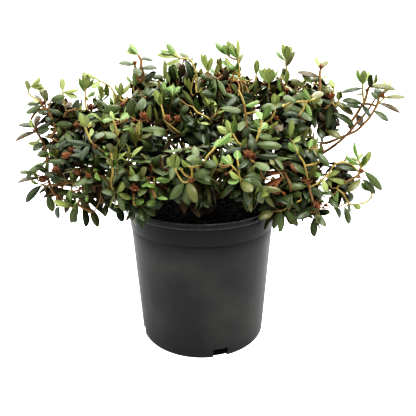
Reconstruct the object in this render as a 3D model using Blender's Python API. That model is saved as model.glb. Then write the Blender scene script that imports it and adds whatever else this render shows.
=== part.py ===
"""Potted rhododendron: a small-leaved shrub in a round nursery pot, at its real size.

Units are metres, +Z is up and -Y is the side the plant is looked at from. The origin is the centre of the
pot's flat underside. The shrub is a short trunk, one bough for each mass of foliage, and the masses, each a
set of twigs with whorls of old leaves, tufts of young leaves and dry seed heads.
"""

import math
import random

import bmesh
import bpy
import numpy as np
from mathutils import Matrix, Vector
from mathutils.bvhtree import BVHTree

# Pot: a blow-moulded nursery can with a rolled lip, a shoulder band and four drain notches in its foot.
POT_HEIGHT = 0.244
LIP_RADIUS = 0.127
LIP_HEIGHT = 0.009
LIP_WIDTH = 0.0045
LIP_ROUND = 0.0015
LIP_UNDERCUT = 0.0006
BAND_FOOT_HEIGHT = 0.206
BAND_STEP = 0.0009
BAND_TOP_RADIUS = 0.1250
BAND_FOOT_RADIUS = 0.1236
BODY_TOP_RADIUS = 0.1226
BODY_FOOT_RADIUS = 0.111
FOOT_CHAMFER = 0.0025
WALL = 0.002
FLOOR = 0.003
POT_SEGMENTS = 48
NOTCH_WIDTH = 0.025
NOTCH_HEIGHT = 0.016
NOTCH_DEPTH = 0.010
NOTCH_COUNT = 4
FIRST_NOTCH_DEG = -75.0

# Bark mulch that fills the pot: flat round the trunk, settled towards the wall, and lumpy between.
SOIL_TOP = 0.222
SOIL_SETTLE = 0.004
SOIL_LUMP = 0.0018
SOIL_FLAT_RADIUS = 0.024
SOIL_RINGS = 4
SOIL_SEGMENTS = 24

# The gap that neighbouring solids keep.
GAP = 0.0003

# Trunk: from a flat cut on the mulch, where it flares into its roots, to its fork. Each row is a height above
# the mulch, the radius there, and how far the trunk has leant to +X and to +Y.
TRUNK_SIDES = 10
FLARE_LOBES = 4
FLARE_DEPTH = 0.14
TRUNK_RINGS = (
    (0.000, 0.0195, 0.0000, 0.0000),
    (0.006, 0.0150, 0.0000, 0.0000),
    (0.018, 0.0125, 0.0008, 0.0004),
    (0.034, 0.0112, 0.0016, 0.0010),
    (0.052, 0.0098, 0.0022, 0.0018),
)

# Boughs. A side bough's foot is a share of the radius of the bough that it grows from. A bough ends short of
# its mass's centre by a share of the mass's reach. It enters a low mass nearly level and a high one nearly
# upright.
TRUNK_BOUGH_RADIUS = 0.0040
SIDE_BOUGH_SHARE = 0.80
BOUGH_TIP_RADIUS = 0.0019
BOUGH_SIDES = 5
BOUGH_RINGS = 6
BALLS = 60
FOOT_GAP = 0.00042
FOOT_OFFSET = 0.006
SIDE_FOOT_OFFSET = 0.5
LEAST_CLIMB = 0.55
CLIMB_LEAD = 1.15
LEAVE_PULL = 0.42
ARRIVE_PULL = 0.34
BOUGH_ENTRY = 0.60
LOW_MASS_HEIGHT = 0.27
HIGH_MASS_HEIGHT = 0.44
LOW_MASS_RISE = math.radians(-14)
HIGH_MASS_RISE = math.radians(78)

# Foliage masses. Each row is the mass's name, its centre, its reach, the limb that its bough grows from, and
# where on that limb: a height on the trunk, or a share of the length of a bough.
MASSES = (
    ("left_far", (-0.230, 0.010, 0.340), 0.064, "trunk", 0.244),
    ("left_low", (-0.174, -0.070, 0.284), 0.070, "trunk", 0.233),
    ("upper_left", (-0.172, 0.022, 0.378), 0.064, "trunk", 0.260),
    ("top_left", (-0.085, 0.000, 0.430), 0.070, "trunk", 0.271),
    ("top_centre", (0.048, 0.000, 0.436), 0.072, "trunk", 0.271),
    ("top_right", (0.130, 0.000, 0.424), 0.070, "trunk", 0.262),
    ("right_upper", (0.198, 0.022, 0.405), 0.066, "trunk", 0.250),
    ("right_arm_high", (0.275, 0.000, 0.402), 0.056, "trunk", 0.238),
    ("right_low", (0.142, -0.080, 0.272), 0.068, "trunk", 0.232),
    ("front_left", (-0.090, -0.125, 0.306), 0.066, "trunk", 0.240),
    ("front_right", (0.068, -0.125, 0.330), 0.066, "trunk", 0.244),
    ("mid_left", (-0.096, -0.055, 0.365), 0.054, "trunk", 0.255),
    ("mid_right", (0.084, -0.055, 0.372), 0.054, "trunk", 0.255),
    ("back_left", (-0.165, 0.140, 0.345), 0.072, "trunk", 0.236),
    ("back_right", (0.165, 0.135, 0.350), 0.072, "trunk", 0.236),
    ("back_centre_left", (-0.062, 0.165, 0.380), 0.072, "trunk", 0.252),
    ("back_centre_right", (0.062, 0.170, 0.378), 0.072, "trunk", 0.248),
    ("left_top", (-0.238, 0.050, 0.392), 0.054, "left_far", 0.50),
    ("left_tip", (-0.228, -0.060, 0.288), 0.052, "left_low", 0.55),
    ("left_mid", (-0.160, -0.052, 0.338), 0.060, "left_low", 0.40),
    ("top_centre_left", (-0.034, 0.025, 0.428), 0.068, "top_centre", 0.35),
    ("right_mid", (0.154, -0.042, 0.328), 0.060, "right_low", 0.42),
    ("right_arm_low", (0.240, -0.030, 0.290), 0.060, "right_arm_high", 0.50),
    ("front_centre", (-0.012, -0.130, 0.318), 0.062, "front_right", 0.38),
    ("front_high", (-0.006, -0.070, 0.388), 0.056, "top_centre", 0.30),
    ("back_low_left", (-0.100, 0.190, 0.290), 0.066, "back_left", 0.45),
    ("back_low_right", (0.095, 0.190, 0.288), 0.066, "back_right", 0.45),
    ("centre", (0.012, 0.080, 0.345), 0.056, "back_centre_right", 0.35),
)

# Twigs: three-sided, forking from the twig that carries the bough on. A shoot grows on past each whorl.
TWIG_SIDES = 3
LEADER_RADIUS = 0.0021
TWIG_RADIUS = 0.0017
TWIG_TIP_RADIUS = 0.0013
TWIGS_PER_MASS = 5
MEAN_REACH = 0.066
TWIG_SPREAD = 1.45
CROWN_SQUASH = 0.92
WHORL_INSET = 0.039
FIRST_FORK = 0.22
LAST_FORK = 0.80
SHOOT_LENGTH = 0.011

# Leaves, as length and width, and how they stand on a twig. They are fewer than on the plant and a quarter
# longer. A leaf's root is sunk in its twig, and no leaf crosses another.
OLD_LEAF = (0.046, 0.0200)
YOUNG_LEAF = (0.036, 0.0150)
OLD_LEAVES = 5
YOUNG_LEAVES = 3
OLD_LEAF_ANGLE = math.radians(66)
YOUNG_LEAF_ANGLE = math.radians(30)
LEAN_SHARES = (1.0, 0.8, 0.6)
LEAF_RIDGE = 0.0014
LEAF_WIDEST = 0.5
LEAF_DROOP = 0.05
LEAF_SINK = 0.0030
ROOT_STEP = 0.0003
TIER_STEP = 0.0035
TIER_TURNS = (-0.1, 0.45)
LEAF_SWAY = 0.2
BARE_ROOT_SHARE = 0.15

# Dry seed heads, as length and radius.
SEED_HEAD = (0.011, 0.0042)
SEED_HEAD_CHANCE = 0.22

# How far twigs and leaves stay from the next mass's space, from any limb, and from the pot and the mulch.
CELL_MARGIN = 0.0006
LIMB_MARGIN = 0.0018
POT_MARGIN = 0.0020
LEAF_ALLOWANCE = 0.0008

UP = Vector((0, 0, 1))
GOLDEN_ANGLE = math.pi * (3 - math.sqrt(5))


def clear_scene():
    for obj in list(bpy.data.objects):
        bpy.data.objects.remove(obj)


def material(name, colour, roughness, metallic=0.0):
    made = bpy.data.materials.new(name)
    made.use_nodes = True
    shader = made.node_tree.nodes["Principled BSDF"]
    shader.inputs["Base Color"].default_value = (*colour, 1.0)
    shader.inputs["Roughness"].default_value = roughness
    shader.inputs["Metallic"].default_value = metallic
    return made


def add_object(name, mesh, finish):
    obj = bpy.data.objects.new(name, mesh)
    bpy.context.scene.collection.objects.link(obj)
    obj.data.materials.append(finish)
    return obj


def mesh_from(name, points, faces):
    mesh = bpy.data.meshes.new(name)
    mesh.from_pydata([tuple(p) for p in points], [], faces)
    bm = bmesh.new()
    bm.from_mesh(mesh)
    bmesh.ops.recalc_face_normals(bm, faces=bm.faces)
    bm.to_mesh(mesh)
    bm.free()
    return mesh


def turned(name, profile, segments):
    """A turned shape: the profile, a row of (radius, height) from axis to axis, spun round Z."""
    bm = bmesh.new()
    points = [bm.verts.new((radius, 0, height)) for radius, height in profile]
    edges = [bm.edges.new(pair) for pair in zip(points, points[1:])]
    bmesh.ops.spin(bm, geom=points + edges, cent=(0, 0, 0), axis=(0, 0, 1), angle=2 * math.pi,
                   steps=segments, use_merge=True)
    bmesh.ops.remove_doubles(bm, verts=bm.verts, dist=1e-6)
    bmesh.ops.recalc_face_normals(bm, faces=bm.faces)
    mesh = bpy.data.meshes.new(name)
    bm.to_mesh(mesh)
    bm.free()
    return mesh


def frames(path):
    """For each point of a path, its direction and two directions square to it that don't twist on the way."""
    across = None
    for i in range(len(path)):
        along = (path[min(i + 1, len(path) - 1)] - path[max(i - 1, 0)]).normalized()
        if across is None:
            across = along.orthogonal()
        across = (across - along * across.dot(along)).normalized()
        yield along, across, along.cross(across)


def round_frame(frame, angle):
    """The direction at that angle round a frame's own direction."""
    return frame[1] * math.cos(angle) + frame[2] * math.sin(angle)


def tube_shape(path, radii, sides, lobes=0, lobe_depth=0.0):
    """A closed tapering tube round a path. Lobes shape its first rings into root flares."""
    points = []
    for step, (centre, radius, frame) in enumerate(zip(path, radii, frames(path))):
        for side in range(sides):
            angle = 2 * math.pi * side / sides
            swell = 1 + lobe_depth * math.cos(lobes * angle) * (1 - step / (len(path) - 1)) ** 2
            points.append(centre + round_frame(frame, angle) * radius * swell)
    faces = [tuple(reversed(range(sides)))]
    for ring in range(len(path) - 1):
        for side in range(sides):
            a, b = ring * sides + side, ring * sides + (side + 1) % sides
            faces.append((a, b, b + sides, a + sides))
    last = (len(path) - 1) * sides
    faces.append(tuple(range(last, last + sides)))
    return points, faces


def tube(name, *shape):
    return mesh_from(name, *tube_shape(*shape))


def boolean(obj, operation, **operand):
    """Adds a Boolean to the object and applies it, so that the object's own mesh is the result."""
    modifier = obj.modifiers.new(operation.lower(), "BOOLEAN")
    modifier.operation = operation
    modifier.solver = "EXACT"
    for key, value in operand.items():
        setattr(modifier, key, value)
    graph = bpy.context.evaluated_depsgraph_get()
    result = bpy.data.meshes.new_from_object(obj.evaluated_get(graph))
    obj.modifiers.remove(modifier)
    old = obj.data
    obj.data = result
    bpy.data.meshes.remove(old)


def cut(obj, cutter_mesh, finish):
    """Takes a cutter's shape out of the object and removes the cutter."""
    cutter = add_object("cutter", cutter_mesh, finish)
    boolean(obj, "DIFFERENCE", object=cutter)
    bpy.data.objects.remove(cutter)


def shade(obj, sharp_deg):
    obj.data.shade_smooth()
    obj.data.set_sharp_from_angle(angle=math.radians(sharp_deg))


def wall_radius(height):
    """The pot's outer radius below the lip."""
    if height < BAND_FOOT_HEIGHT:
        share = height / BAND_FOOT_HEIGHT
        return BODY_FOOT_RADIUS + (BODY_TOP_RADIUS - BODY_FOOT_RADIUS) * share
    share = (height - BAND_FOOT_HEIGHT) / (POT_HEIGHT - LIP_HEIGHT - BAND_FOOT_HEIGHT)
    return BAND_FOOT_RADIUS + (BAND_TOP_RADIUS - BAND_FOOT_RADIUS) * share


def inner_radius(height):
    """The pot's inner radius: its wall is a little thicker behind the lip."""
    if height < BAND_FOOT_HEIGHT:
        return wall_radius(height) - WALL
    share = min(1.0, (height - BAND_FOOT_HEIGHT) / (POT_HEIGHT - LIP_ROUND - BAND_FOOT_HEIGHT))
    foot = BAND_FOOT_RADIUS - WALL
    return foot + (LIP_RADIUS - LIP_WIDTH - foot) * share


def notch_cutter(angle):
    """A block across the corner of the pot's wall and floor, at that angle round the pot."""
    inward = BODY_FOOT_RADIUS - NOTCH_DEPTH
    outward = BODY_TOP_RADIUS
    bm = bmesh.new()
    bmesh.ops.create_cube(bm, size=1)
    bmesh.ops.scale(bm, vec=Vector((outward - inward, NOTCH_WIDTH, 2 * NOTCH_HEIGHT)), verts=bm.verts)
    bm.transform(Matrix.Rotation(angle, 4, "Z") @ Matrix.Translation(((outward + inward) / 2, 0, 0)))
    mesh = bpy.data.meshes.new("notch")
    bm.to_mesh(mesh)
    bm.free()
    return mesh


def build_pot(finish):
    lip_foot = POT_HEIGHT - LIP_HEIGHT
    mouth = inner_radius(POT_HEIGHT)
    profile = (
        (0, 0),
        (BODY_FOOT_RADIUS - FOOT_CHAMFER, 0),
        (wall_radius(FOOT_CHAMFER), FOOT_CHAMFER),
        (BODY_TOP_RADIUS, BAND_FOOT_HEIGHT - BAND_STEP),
        (BAND_FOOT_RADIUS, BAND_FOOT_HEIGHT + BAND_STEP),
        (BAND_TOP_RADIUS, lip_foot),
        (LIP_RADIUS, lip_foot + LIP_UNDERCUT),
        (LIP_RADIUS, POT_HEIGHT - LIP_ROUND),
        (LIP_RADIUS - LIP_ROUND, POT_HEIGHT),
        (mouth + LIP_ROUND, POT_HEIGHT),
        (mouth, POT_HEIGHT - LIP_ROUND),
        (inner_radius(BAND_FOOT_HEIGHT + BAND_STEP), BAND_FOOT_HEIGHT + BAND_STEP),
        (inner_radius(BAND_FOOT_HEIGHT - BAND_STEP), BAND_FOOT_HEIGHT - BAND_STEP),
        (inner_radius(FLOOR), FLOOR),
        (0, FLOOR),
    )
    pot = add_object("pot", turned("pot", profile, POT_SEGMENTS), finish)
    for notch in range(NOTCH_COUNT):
        cut(pot, notch_cutter(math.radians(FIRST_NOTCH_DEG + 360 * notch / NOTCH_COUNT)), finish)
    shade(pot, 30)


def build_soil(finish):
    """The mulch: a plug that fills the pot, with a settled and slightly lumpy top."""
    lumps = random.Random(11)
    shoulder = BAND_FOOT_HEIGHT - BAND_STEP
    rim = inner_radius(SOIL_TOP) - GAP
    profile = [
        (0, FLOOR + GAP),
        (inner_radius(FLOOR) - GAP, FLOOR + GAP),
        (inner_radius(shoulder) - GAP, shoulder),
    ]
    for ring in range(SOIL_RINGS, -1, -1):
        share = ring / SOIL_RINGS
        profile.append((SOIL_FLAT_RADIUS + (rim - SOIL_FLAT_RADIUS) * share, SOIL_TOP - SOIL_SETTLE * share))
    profile.append((0, SOIL_TOP))
    soil = add_object("soil", turned("soil", profile, SOIL_SEGMENTS), finish)
    first_ring = SOIL_FLAT_RADIUS + (rim - SOIL_FLAT_RADIUS) * 0.5 / SOIL_RINGS
    last_ring = rim - (rim - SOIL_FLAT_RADIUS) * 0.5 / SOIL_RINGS
    for vertex in soil.data.vertices:
        if vertex.co.z > shoulder + GAP and first_ring < math.hypot(vertex.co.x, vertex.co.y) < last_ring:
            vertex.co.z += lumps.uniform(-SOIL_LUMP, SOIL_LUMP)
    shade(soil, 40)


def trunk_shape(grow=0.0):
    """The trunk's path and radii; grow makes it thicker and longer by that much."""
    foot = SOIL_TOP + GAP
    path = [Vector((x, y, foot + height)) for height, _, x, y in TRUNK_RINGS]
    path[0].z -= grow
    path[-1].z += grow
    return path, [radius + grow for _, radius, _, _ in TRUNK_RINGS]


def trunk_point(height):
    """The point on the trunk's middle line at that height."""
    path, _ = trunk_shape()
    for low, high in zip(path, path[1:]):
        if height <= high.z:
            return low.lerp(high, (height - low.z) / (high.z - low.z))
    return path[-1]


def build_trunk(finish):
    path, radii = trunk_shape()
    trunk = add_object("trunk", tube("trunk", path, radii, TRUNK_SIDES, FLARE_LOBES, FLARE_DEPTH), finish)
    shade(trunk, 60)


def bezier(points, share):
    a, b, c, d = points
    rest = 1 - share
    return a * rest**3 + b * 3 * share * rest**2 + c * 3 * share**2 * rest + d * share**3


def arrival(centre):
    """The direction in which a bough enters the mass round that centre."""
    share = (centre.z - LOW_MASS_HEIGHT) / (HIGH_MASS_HEIGHT - LOW_MASS_HEIGHT)
    rise = LOW_MASS_RISE + (HIGH_MASS_RISE - LOW_MASS_RISE) * min(1.0, max(0.0, share))
    outward = Vector((centre.x, centre.y, 0)).normalized()
    return outward * math.cos(rise) + UP * math.sin(rise)


class Limb:
    """One bough: its middle line, its radius along it, and the mass at its tip."""

    def __init__(self, row, limbs):
        self.name, centre, self.reach, parent, place = row
        self.centre = Vector(centre)
        self.arrive = arrival(self.centre)
        self.tip = self.centre - self.arrive * self.reach * BOUGH_ENTRY
        if parent == "trunk":
            self.parent = None
            self.foot_radius = TRUNK_BOUGH_RADIUS
            start = trunk_point(place)
            level = Vector((self.tip.x - start.x, self.tip.y - start.y, 0))
            start = start + level.normalized() * FOOT_OFFSET
            climb = CLIMB_LEAD * (self.tip.z - start.z) / level.length
            leave = (level.normalized() + UP * max(LEAST_CLIMB, climb)).normalized()
        else:
            self.parent = limbs[parent]
            self.foot_radius = self.parent.radius(place) * SIDE_BOUGH_SHARE
            start = self.parent.at(place)
            ahead = (self.parent.at(place + 0.05) - start).normalized()
            leave = (ahead * 0.5 + (self.tip - start).normalized()).normalized()
            start = start + leave * self.parent.radius(place) * SIDE_FOOT_OFFSET
        span = (self.tip - start).length
        pull = self.tip - self.arrive * span * ARRIVE_PULL
        self.handles = (start, start + leave * span * LEAVE_PULL, pull, self.tip)
        path, _ = self.shape()
        self.heading = (path[-1] - path[-2]).normalized()

    def at(self, share):
        return bezier(self.handles, share)

    def radius(self, share):
        return self.foot_radius + (BOUGH_TIP_RADIUS - self.foot_radius) * share

    def shape(self, grow=0.0):
        shares = [ring / (BOUGH_RINGS - 1) for ring in range(BOUGH_RINGS)]
        path = [self.at(share) for share in shares]
        radii = [self.radius(share) + grow for share in shares]
        return path, radii

    def balls(self):
        """Points down the bough with its radius there, close enough together to stand for it."""
        shares = [step / BALLS for step in range(BALLS + 1)]
        return [(*self.at(share), self.radius(share)) for share in shares]


def plan_limbs():
    limbs = {}
    for row in MASSES:
        limbs[row[0]] = Limb(row, limbs)
    return limbs


def build_bough(limb, finish):
    """A tapering bough whose foot is cut to the limb that it grows from, a small gap clear of it."""
    name = "bough_" + limb.name
    bough = add_object(name, tube(name, *limb.shape(), BOUGH_SIDES), finish)
    if limb.parent is None:
        cutter = tube("cutter", *trunk_shape(FOOT_GAP), TRUNK_SIDES, FLARE_LOBES, FLARE_DEPTH)
    else:
        cutter = tube("cutter", *limb.parent.shape(FOOT_GAP), BOUGH_SIDES)
    cut(bough, cutter, finish)
    shade(bough, 60)


class Space:
    """The space that each mass keeps to: its cell of the crown, clear of every limb and of the pot."""

    def __init__(self, limbs):
        self.centres = np.array([limb.centre for limb in limbs.values()])
        self.reaches = np.array([limb.reach for limb in limbs.values()])
        self.names = list(limbs)
        balls = [ball for limb in limbs.values() for ball in limb.balls()]
        path, radii = trunk_shape()
        balls += [(*point, radius * (1 + FLARE_DEPTH)) for point, radius in zip(path, radii)]
        self.limb_points = np.array([ball[:3] for ball in balls])
        self.limb_radii = np.array([ball[3] for ball in balls])

    def in_cell(self, points, name):
        """Whether points lie on the mass's side of the plane between it and each other mass."""
        own = self.names.index(name)
        power = ((points[:, None, :] - self.centres[None]) ** 2).sum(2) - self.reaches**2
        apart = np.linalg.norm(self.centres - self.centres[own], axis=1)
        apart[own] = 1.0
        distance = (power - power[:, own : own + 1]) / (2 * apart)
        distance[:, own] = 1.0
        return distance.min() > CELL_MARGIN

    def off_limbs(self, points, thickness):
        distance = np.linalg.norm(points[:, None, :] - self.limb_points[None], axis=2)
        return (distance - self.limb_radii).min() > LIMB_MARGIN + thickness

    def off_pot(self, points):
        for x, y, z in points:
            radius = math.hypot(x, y)
            if z > POT_HEIGHT + POT_MARGIN or radius > LIP_RADIUS + POT_MARGIN:
                continue
            if radius > inner_radius(min(z, POT_HEIGHT - LIP_HEIGHT)) - LIP_WIDTH - POT_MARGIN:
                return False
            if z < SOIL_TOP + SOIL_LUMP + POT_MARGIN:
                return False
        return True

    def fits(self, points, name, thickness):
        points = np.array(points)
        return self.in_cell(points, name) and self.off_pot(points) and self.off_limbs(points, thickness)


def leaf_shape(root, along, face, length, width):
    """The five corners of a leaf: its root, its two widest points, its tip and the top of its ridge."""
    side = along.cross(face).normalized()
    middle = root + along * length * LEAF_WIDEST
    return [
        root,
        middle - side * width / 2,
        middle + side * width / 2,
        root + along * length - face * length * LEAF_DROOP,
        middle + face * LEAF_RIDGE,
    ]


LEAF_FACES = ((0, 1, 4), (0, 4, 2), (3, 4, 1), (3, 2, 4), (0, 2, 1), (3, 1, 2))


def leaf_samples(corners):
    """Points spread over a leaf, to test where it would lie."""
    root, left, right, tip, _ = corners
    samples = [left, right, tip, (left + right) / 2]
    samples += [root.lerp(end, share) for end in (left, right) for share in (0.35, 0.7)]
    samples += [tip.lerp(end, share) for end in (left, right) for share in (0.3, 0.65)]
    samples += [root.lerp(tip, share) for share in (0.2, 0.35, 0.75, 0.88)]
    return samples


def seed_head_shape(root, along):
    """A dry seed head: a small double cone, its foot sunk in the twig."""
    length, radius = SEED_HEAD
    across = along.orthogonal().normalized() * radius
    beside = along.cross(across)
    middle = root + along * length * 0.55
    return [root, middle + across, middle + beside, middle - across, middle - beside, root + along * length]


SEED_HEAD_FACES = tuple((0, 1 + (i + 1) % 4, 1 + i) for i in range(4)) + tuple(
    (5, 1 + i, 1 + (i + 1) % 4) for i in range(4)
)


def whorl_places(limb, chance):
    """The places of a mass's whorls: one straight ahead of the bough, the rest spread over the mass."""
    count = round(TWIGS_PER_MASS * (limb.reach / MEAN_REACH) ** 2)
    turn = Matrix.Rotation(chance.uniform(0, math.tau), 3, "Z")
    pole = limb.arrive.to_track_quat("Z", "Y").to_matrix() @ turn
    for number in range(count):
        height = 1 - TWIG_SPREAD * number / (count - 1)
        radius = math.sqrt(1 - height * height)
        angle = number * GOLDEN_ANGLE
        direction = pole @ Vector((radius * math.cos(angle), radius * math.sin(angle), height))
        direction.z *= CROWN_SQUASH
        yield limb.centre + direction * (limb.reach - WHORL_INSET) * chance.uniform(0.92, 1.06)


def twig_lines(limb, chance):
    """The middle line of each twig, with the place of its whorl. The first carries the bough on."""
    whorls = list(whorl_places(limb, chance))
    foot = limb.tip + limb.heading * GAP
    bend = foot + limb.heading * (whorls[0] - foot).length * 0.5
    for number, whorl in enumerate(whorls):
        share = FIRST_FORK + (LAST_FORK - FIRST_FORK) * (1 - number / (len(whorls) - 1))
        if number == 0:
            fork = bend
        elif share < 0.5:
            fork = foot.lerp(bend, 2 * share)
        else:
            fork = bend.lerp(whorls[0], 2 * share - 1)
        tip = whorl + (whorl - fork).normalized() * SHOOT_LENGTH
        yield [fork, tip] if number else [foot, bend, tip], whorl


class Mass:
    """A mass of foliage as it grows: the shapes placed so far, which cross only where one is rooted."""

    def __init__(self, limb, space):
        self.limb = limb
        self.space = space
        self.chance = random.Random("rhododendron " + limb.name)
        self.shapes = []
        self.trees = []
        self.twigs = []

    def place(self, points, faces, bare_points):
        """Adds a shape. Its bare points, those of the shape without its sunken root, keep others off it."""
        self.shapes.append((points, faces))
        self.trees.append(BVHTree.FromPolygons(bare_points, faces))

    def try_to_place(self, points, faces, samples):
        """Adds a leaf or a seed head, if it keeps to the mass's space and crosses nothing in it."""
        bare_points = [points[0].lerp((points[1] + points[2]) / 2, BARE_ROOT_SHARE), *points[1:]]
        tree = BVHTree.FromPolygons(bare_points, faces)
        if not self.space.fits(samples, self.limb.name, LEAF_ALLOWANCE) or any(map(tree.overlap, self.trees)):
            return False
        self.place(points, faces, bare_points)
        return True

    def grow_twigs(self):
        for path, whorl in twig_lines(self.limb, self.chance):
            fork, tip = path[-2:]
            samples = [fork.lerp(tip, 0.4), whorl, tip]
            if self.twigs and not self.space.fits(samples, self.limb.name, TWIG_RADIUS):
                continue
            foot_radius = TWIG_RADIUS if self.twigs else LEADER_RADIUS
            points, faces = tube_shape(path, [foot_radius] * (len(path) - 1) + [TWIG_TIP_RADIUS], TWIG_SIDES)
            self.place(points, faces, points)
            self.twigs.append((whorl, tip, list(frames(path))[-1]))

    def grow_leaves(self, root, frame, count, angle, size):
        """Leaves round a twig, one to a side of it and then on to the next tier.

        A leaf that finds no room is tried nearer to the twig, and then left out.
        """
        axis = frame[0]
        for number in range(count):
            tier, side = divmod(number, TWIG_SIDES)
            turn = math.tau * (side + 0.5) / TWIG_SIDES + TIER_TURNS[tier]
            around = round_frame(frame, turn + self.chance.uniform(-LEAF_SWAY, LEAF_SWAY))
            length = size[0] * self.chance.uniform(0.88, 1.08)
            base = root - axis * (LEAF_SINK + TIER_STEP * tier + ROOT_STEP * side)
            for share in LEAN_SHARES:
                lean = angle * share
                along = axis * math.cos(lean) + around * math.sin(lean)
                face = axis * math.sin(lean) - around * math.cos(lean)
                corners = leaf_shape(base, along, face, length, size[1])
                if self.try_to_place(corners, LEAF_FACES, leaf_samples(corners)):
                    break

    def grow_seed_head(self, whorl, frame):
        along = (frame[0] + round_frame(frame, math.pi / TWIG_SIDES)).normalized()
        points = seed_head_shape(whorl, along)
        self.try_to_place(points, SEED_HEAD_FACES, points[1:])

    def grow(self):
        self.grow_twigs()
        for whorl, _, frame in self.twigs:
            self.grow_leaves(whorl, frame, OLD_LEAVES, OLD_LEAF_ANGLE, OLD_LEAF)
        for whorl, tip, frame in self.twigs:
            if self.chance.random() < SEED_HEAD_CHANCE:
                self.grow_seed_head(whorl, frame)
            self.grow_leaves(tip, frame, YOUNG_LEAVES, YOUNG_LEAF_ANGLE, YOUNG_LEAF)
        return self.shapes


def fuse_mass(limb, shapes, finish):
    """Joins the shapes of a mass into one solid with a Boolean union."""
    name = "foliage_" + limb.name
    group = bpy.data.collections.new(name + "_pieces")
    bpy.context.scene.collection.children.link(group)
    body = add_object(name, mesh_from(name, *shapes[0]), finish)
    for number, shape in enumerate(shapes[1:]):
        piece = bpy.data.objects.new(f"{name}_{number}", mesh_from(name, *shape))
        piece.data.materials.append(finish)
        group.objects.link(piece)
    boolean(body, "UNION", operand_type="COLLECTION", collection=group)
    for piece in list(group.objects):
        bpy.data.objects.remove(piece)
    bpy.data.collections.remove(group)


def build_all():
    clear_scene()
    black_plastic = material("black_plastic", (0.022, 0.023, 0.023), 0.42)
    mulch = material("bark_mulch", (0.030, 0.021, 0.015), 0.95)
    bark = material("bark", (0.150, 0.085, 0.045), 0.85)
    leaves = material("leaves", (0.045, 0.085, 0.028), 0.50)
    build_pot(black_plastic)
    build_soil(mulch)
    build_trunk(bark)
    limbs = plan_limbs()
    space = Space(limbs)
    for limb in limbs.values():
        build_bough(limb, bark)
    for limb in limbs.values():
        fuse_mass(limb, Mass(limb, space).grow(), leaves)


if __name__ == "__main__":
    build_all()
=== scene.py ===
"""Potted rhododendron: the looks of the plant, its mulch and its nursery pot.

Every piece is worked out from the frame and from the named sizes below, in metres, with +Z up and -Y towards
the camera. The shrub grows by the same rule as its solids: one bough to each mass, a twig that carries the
bough on, twigs that fork from it, and here finer twigs that fork from those. The sprays that stand out in the
photograph are placed where it shows them.
"""

import functools
import math
import random
from collections import namedtuple

import bmesh
import bpy
import numpy as np
from bpy.props import FloatProperty, FloatVectorProperty, IntProperty, PointerProperty
from mathutils import Matrix, Vector, noise


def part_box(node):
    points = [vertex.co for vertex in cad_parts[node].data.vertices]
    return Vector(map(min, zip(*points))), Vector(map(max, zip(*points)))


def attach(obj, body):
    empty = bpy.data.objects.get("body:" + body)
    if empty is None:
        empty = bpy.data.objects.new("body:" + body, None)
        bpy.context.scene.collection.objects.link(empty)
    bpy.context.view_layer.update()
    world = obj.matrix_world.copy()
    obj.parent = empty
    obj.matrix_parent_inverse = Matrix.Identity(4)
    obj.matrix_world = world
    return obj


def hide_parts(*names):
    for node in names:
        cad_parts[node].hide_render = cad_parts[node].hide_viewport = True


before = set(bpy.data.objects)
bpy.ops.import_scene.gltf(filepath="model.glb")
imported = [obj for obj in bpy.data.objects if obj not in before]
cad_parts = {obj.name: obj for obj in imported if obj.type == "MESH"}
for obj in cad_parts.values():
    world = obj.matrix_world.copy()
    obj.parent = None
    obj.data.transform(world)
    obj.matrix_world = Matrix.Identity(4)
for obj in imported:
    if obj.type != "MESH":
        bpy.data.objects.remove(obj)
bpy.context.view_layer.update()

bl_info = {
    "name": "Potted Rhododendron",
    "version": (1, 0, 0),
    "blender": (4, 5, 0),
    "location": "View3D > Sidebar > Rhododendron",
    "description": "Builds a potted rhododendron round its packed frame",
    "category": "Object",
}

BODY = "root"
OLD_TINTS = ("deep", "dark", "mid", "olive", "bronze")
YOUNG_TINTS = ("light", "green", "yellow")
UP = Vector((0, 0, 1))
GOLDEN_ANGLE = math.pi * (3 - math.sqrt(5))
POT_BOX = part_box("pot")

# Pot, as in its solid.
LIP_HEIGHT = 0.009
LIP_EDGE = 0.0013
LIP_WIDTH = 0.0045
BAND_FOOT_HEIGHT = 0.206
BAND_TOP_RADIUS = 0.1250
BAND_FOOT_RADIUS = 0.1236
BODY_TOP_RADIUS = 0.1226
BODY_FOOT_RADIUS = 0.111
BODY_RINGS = 11
FOOT_CORNER = 0.0034
WALL = 0.002
FLOOR = 0.003
NOTCH_WIDTH = 0.025
NOTCH_HEIGHT = 0.016
NOTCH_DEPTH = 0.010
NOTCH_COUNT = 4
FIRST_NOTCH = math.radians(-75)

# Mulch, as in its solid.
MULCH_TOP = 0.222
MULCH_SETTLE = 0.004
# How far round the trunk the mulch is level, and its lumps: scale, place in the noise, and height.
LEVEL_RADIUS = 0.024
MULCH_LUMPS = ((45, 0.3, 0.0022), (140, 4.1, 0.0012))

# Trunk, as in its solid: height above the mulch, radius, lean to +X, lean to +Y.
TRUNK_RINGS = (
    (0.000, 0.0195, 0.0000, 0.0000),
    (0.006, 0.0150, 0.0000, 0.0000),
    (0.018, 0.0125, 0.0008, 0.0004),
    (0.034, 0.0112, 0.0016, 0.0010),
    (0.052, 0.0098, 0.0022, 0.0018),
)
FLARE_LOBES = 4
FLARE_DEPTH = 0.14
FLARE_POINTS = 12

# Boughs, as in their solids.
TRUNK_BOUGH_RADIUS = 0.0040
SIDE_BOUGH_SHARE = 0.80
BOUGH_TIP_RADIUS = 0.0019
FOOT_OFFSET = 0.006
SIDE_FOOT_OFFSET = 0.5
LEAST_CLIMB = 0.55
CLIMB_LEAD = 1.15
LEAVE_PULL = 0.42
ARRIVE_PULL = 0.34
BOUGH_ENTRY = 0.60
LOW_MASS_HEIGHT = 0.27
HIGH_MASS_HEIGHT = 0.44
LOW_MASS_RISE = math.radians(-14)
HIGH_MASS_RISE = math.radians(78)

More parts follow.
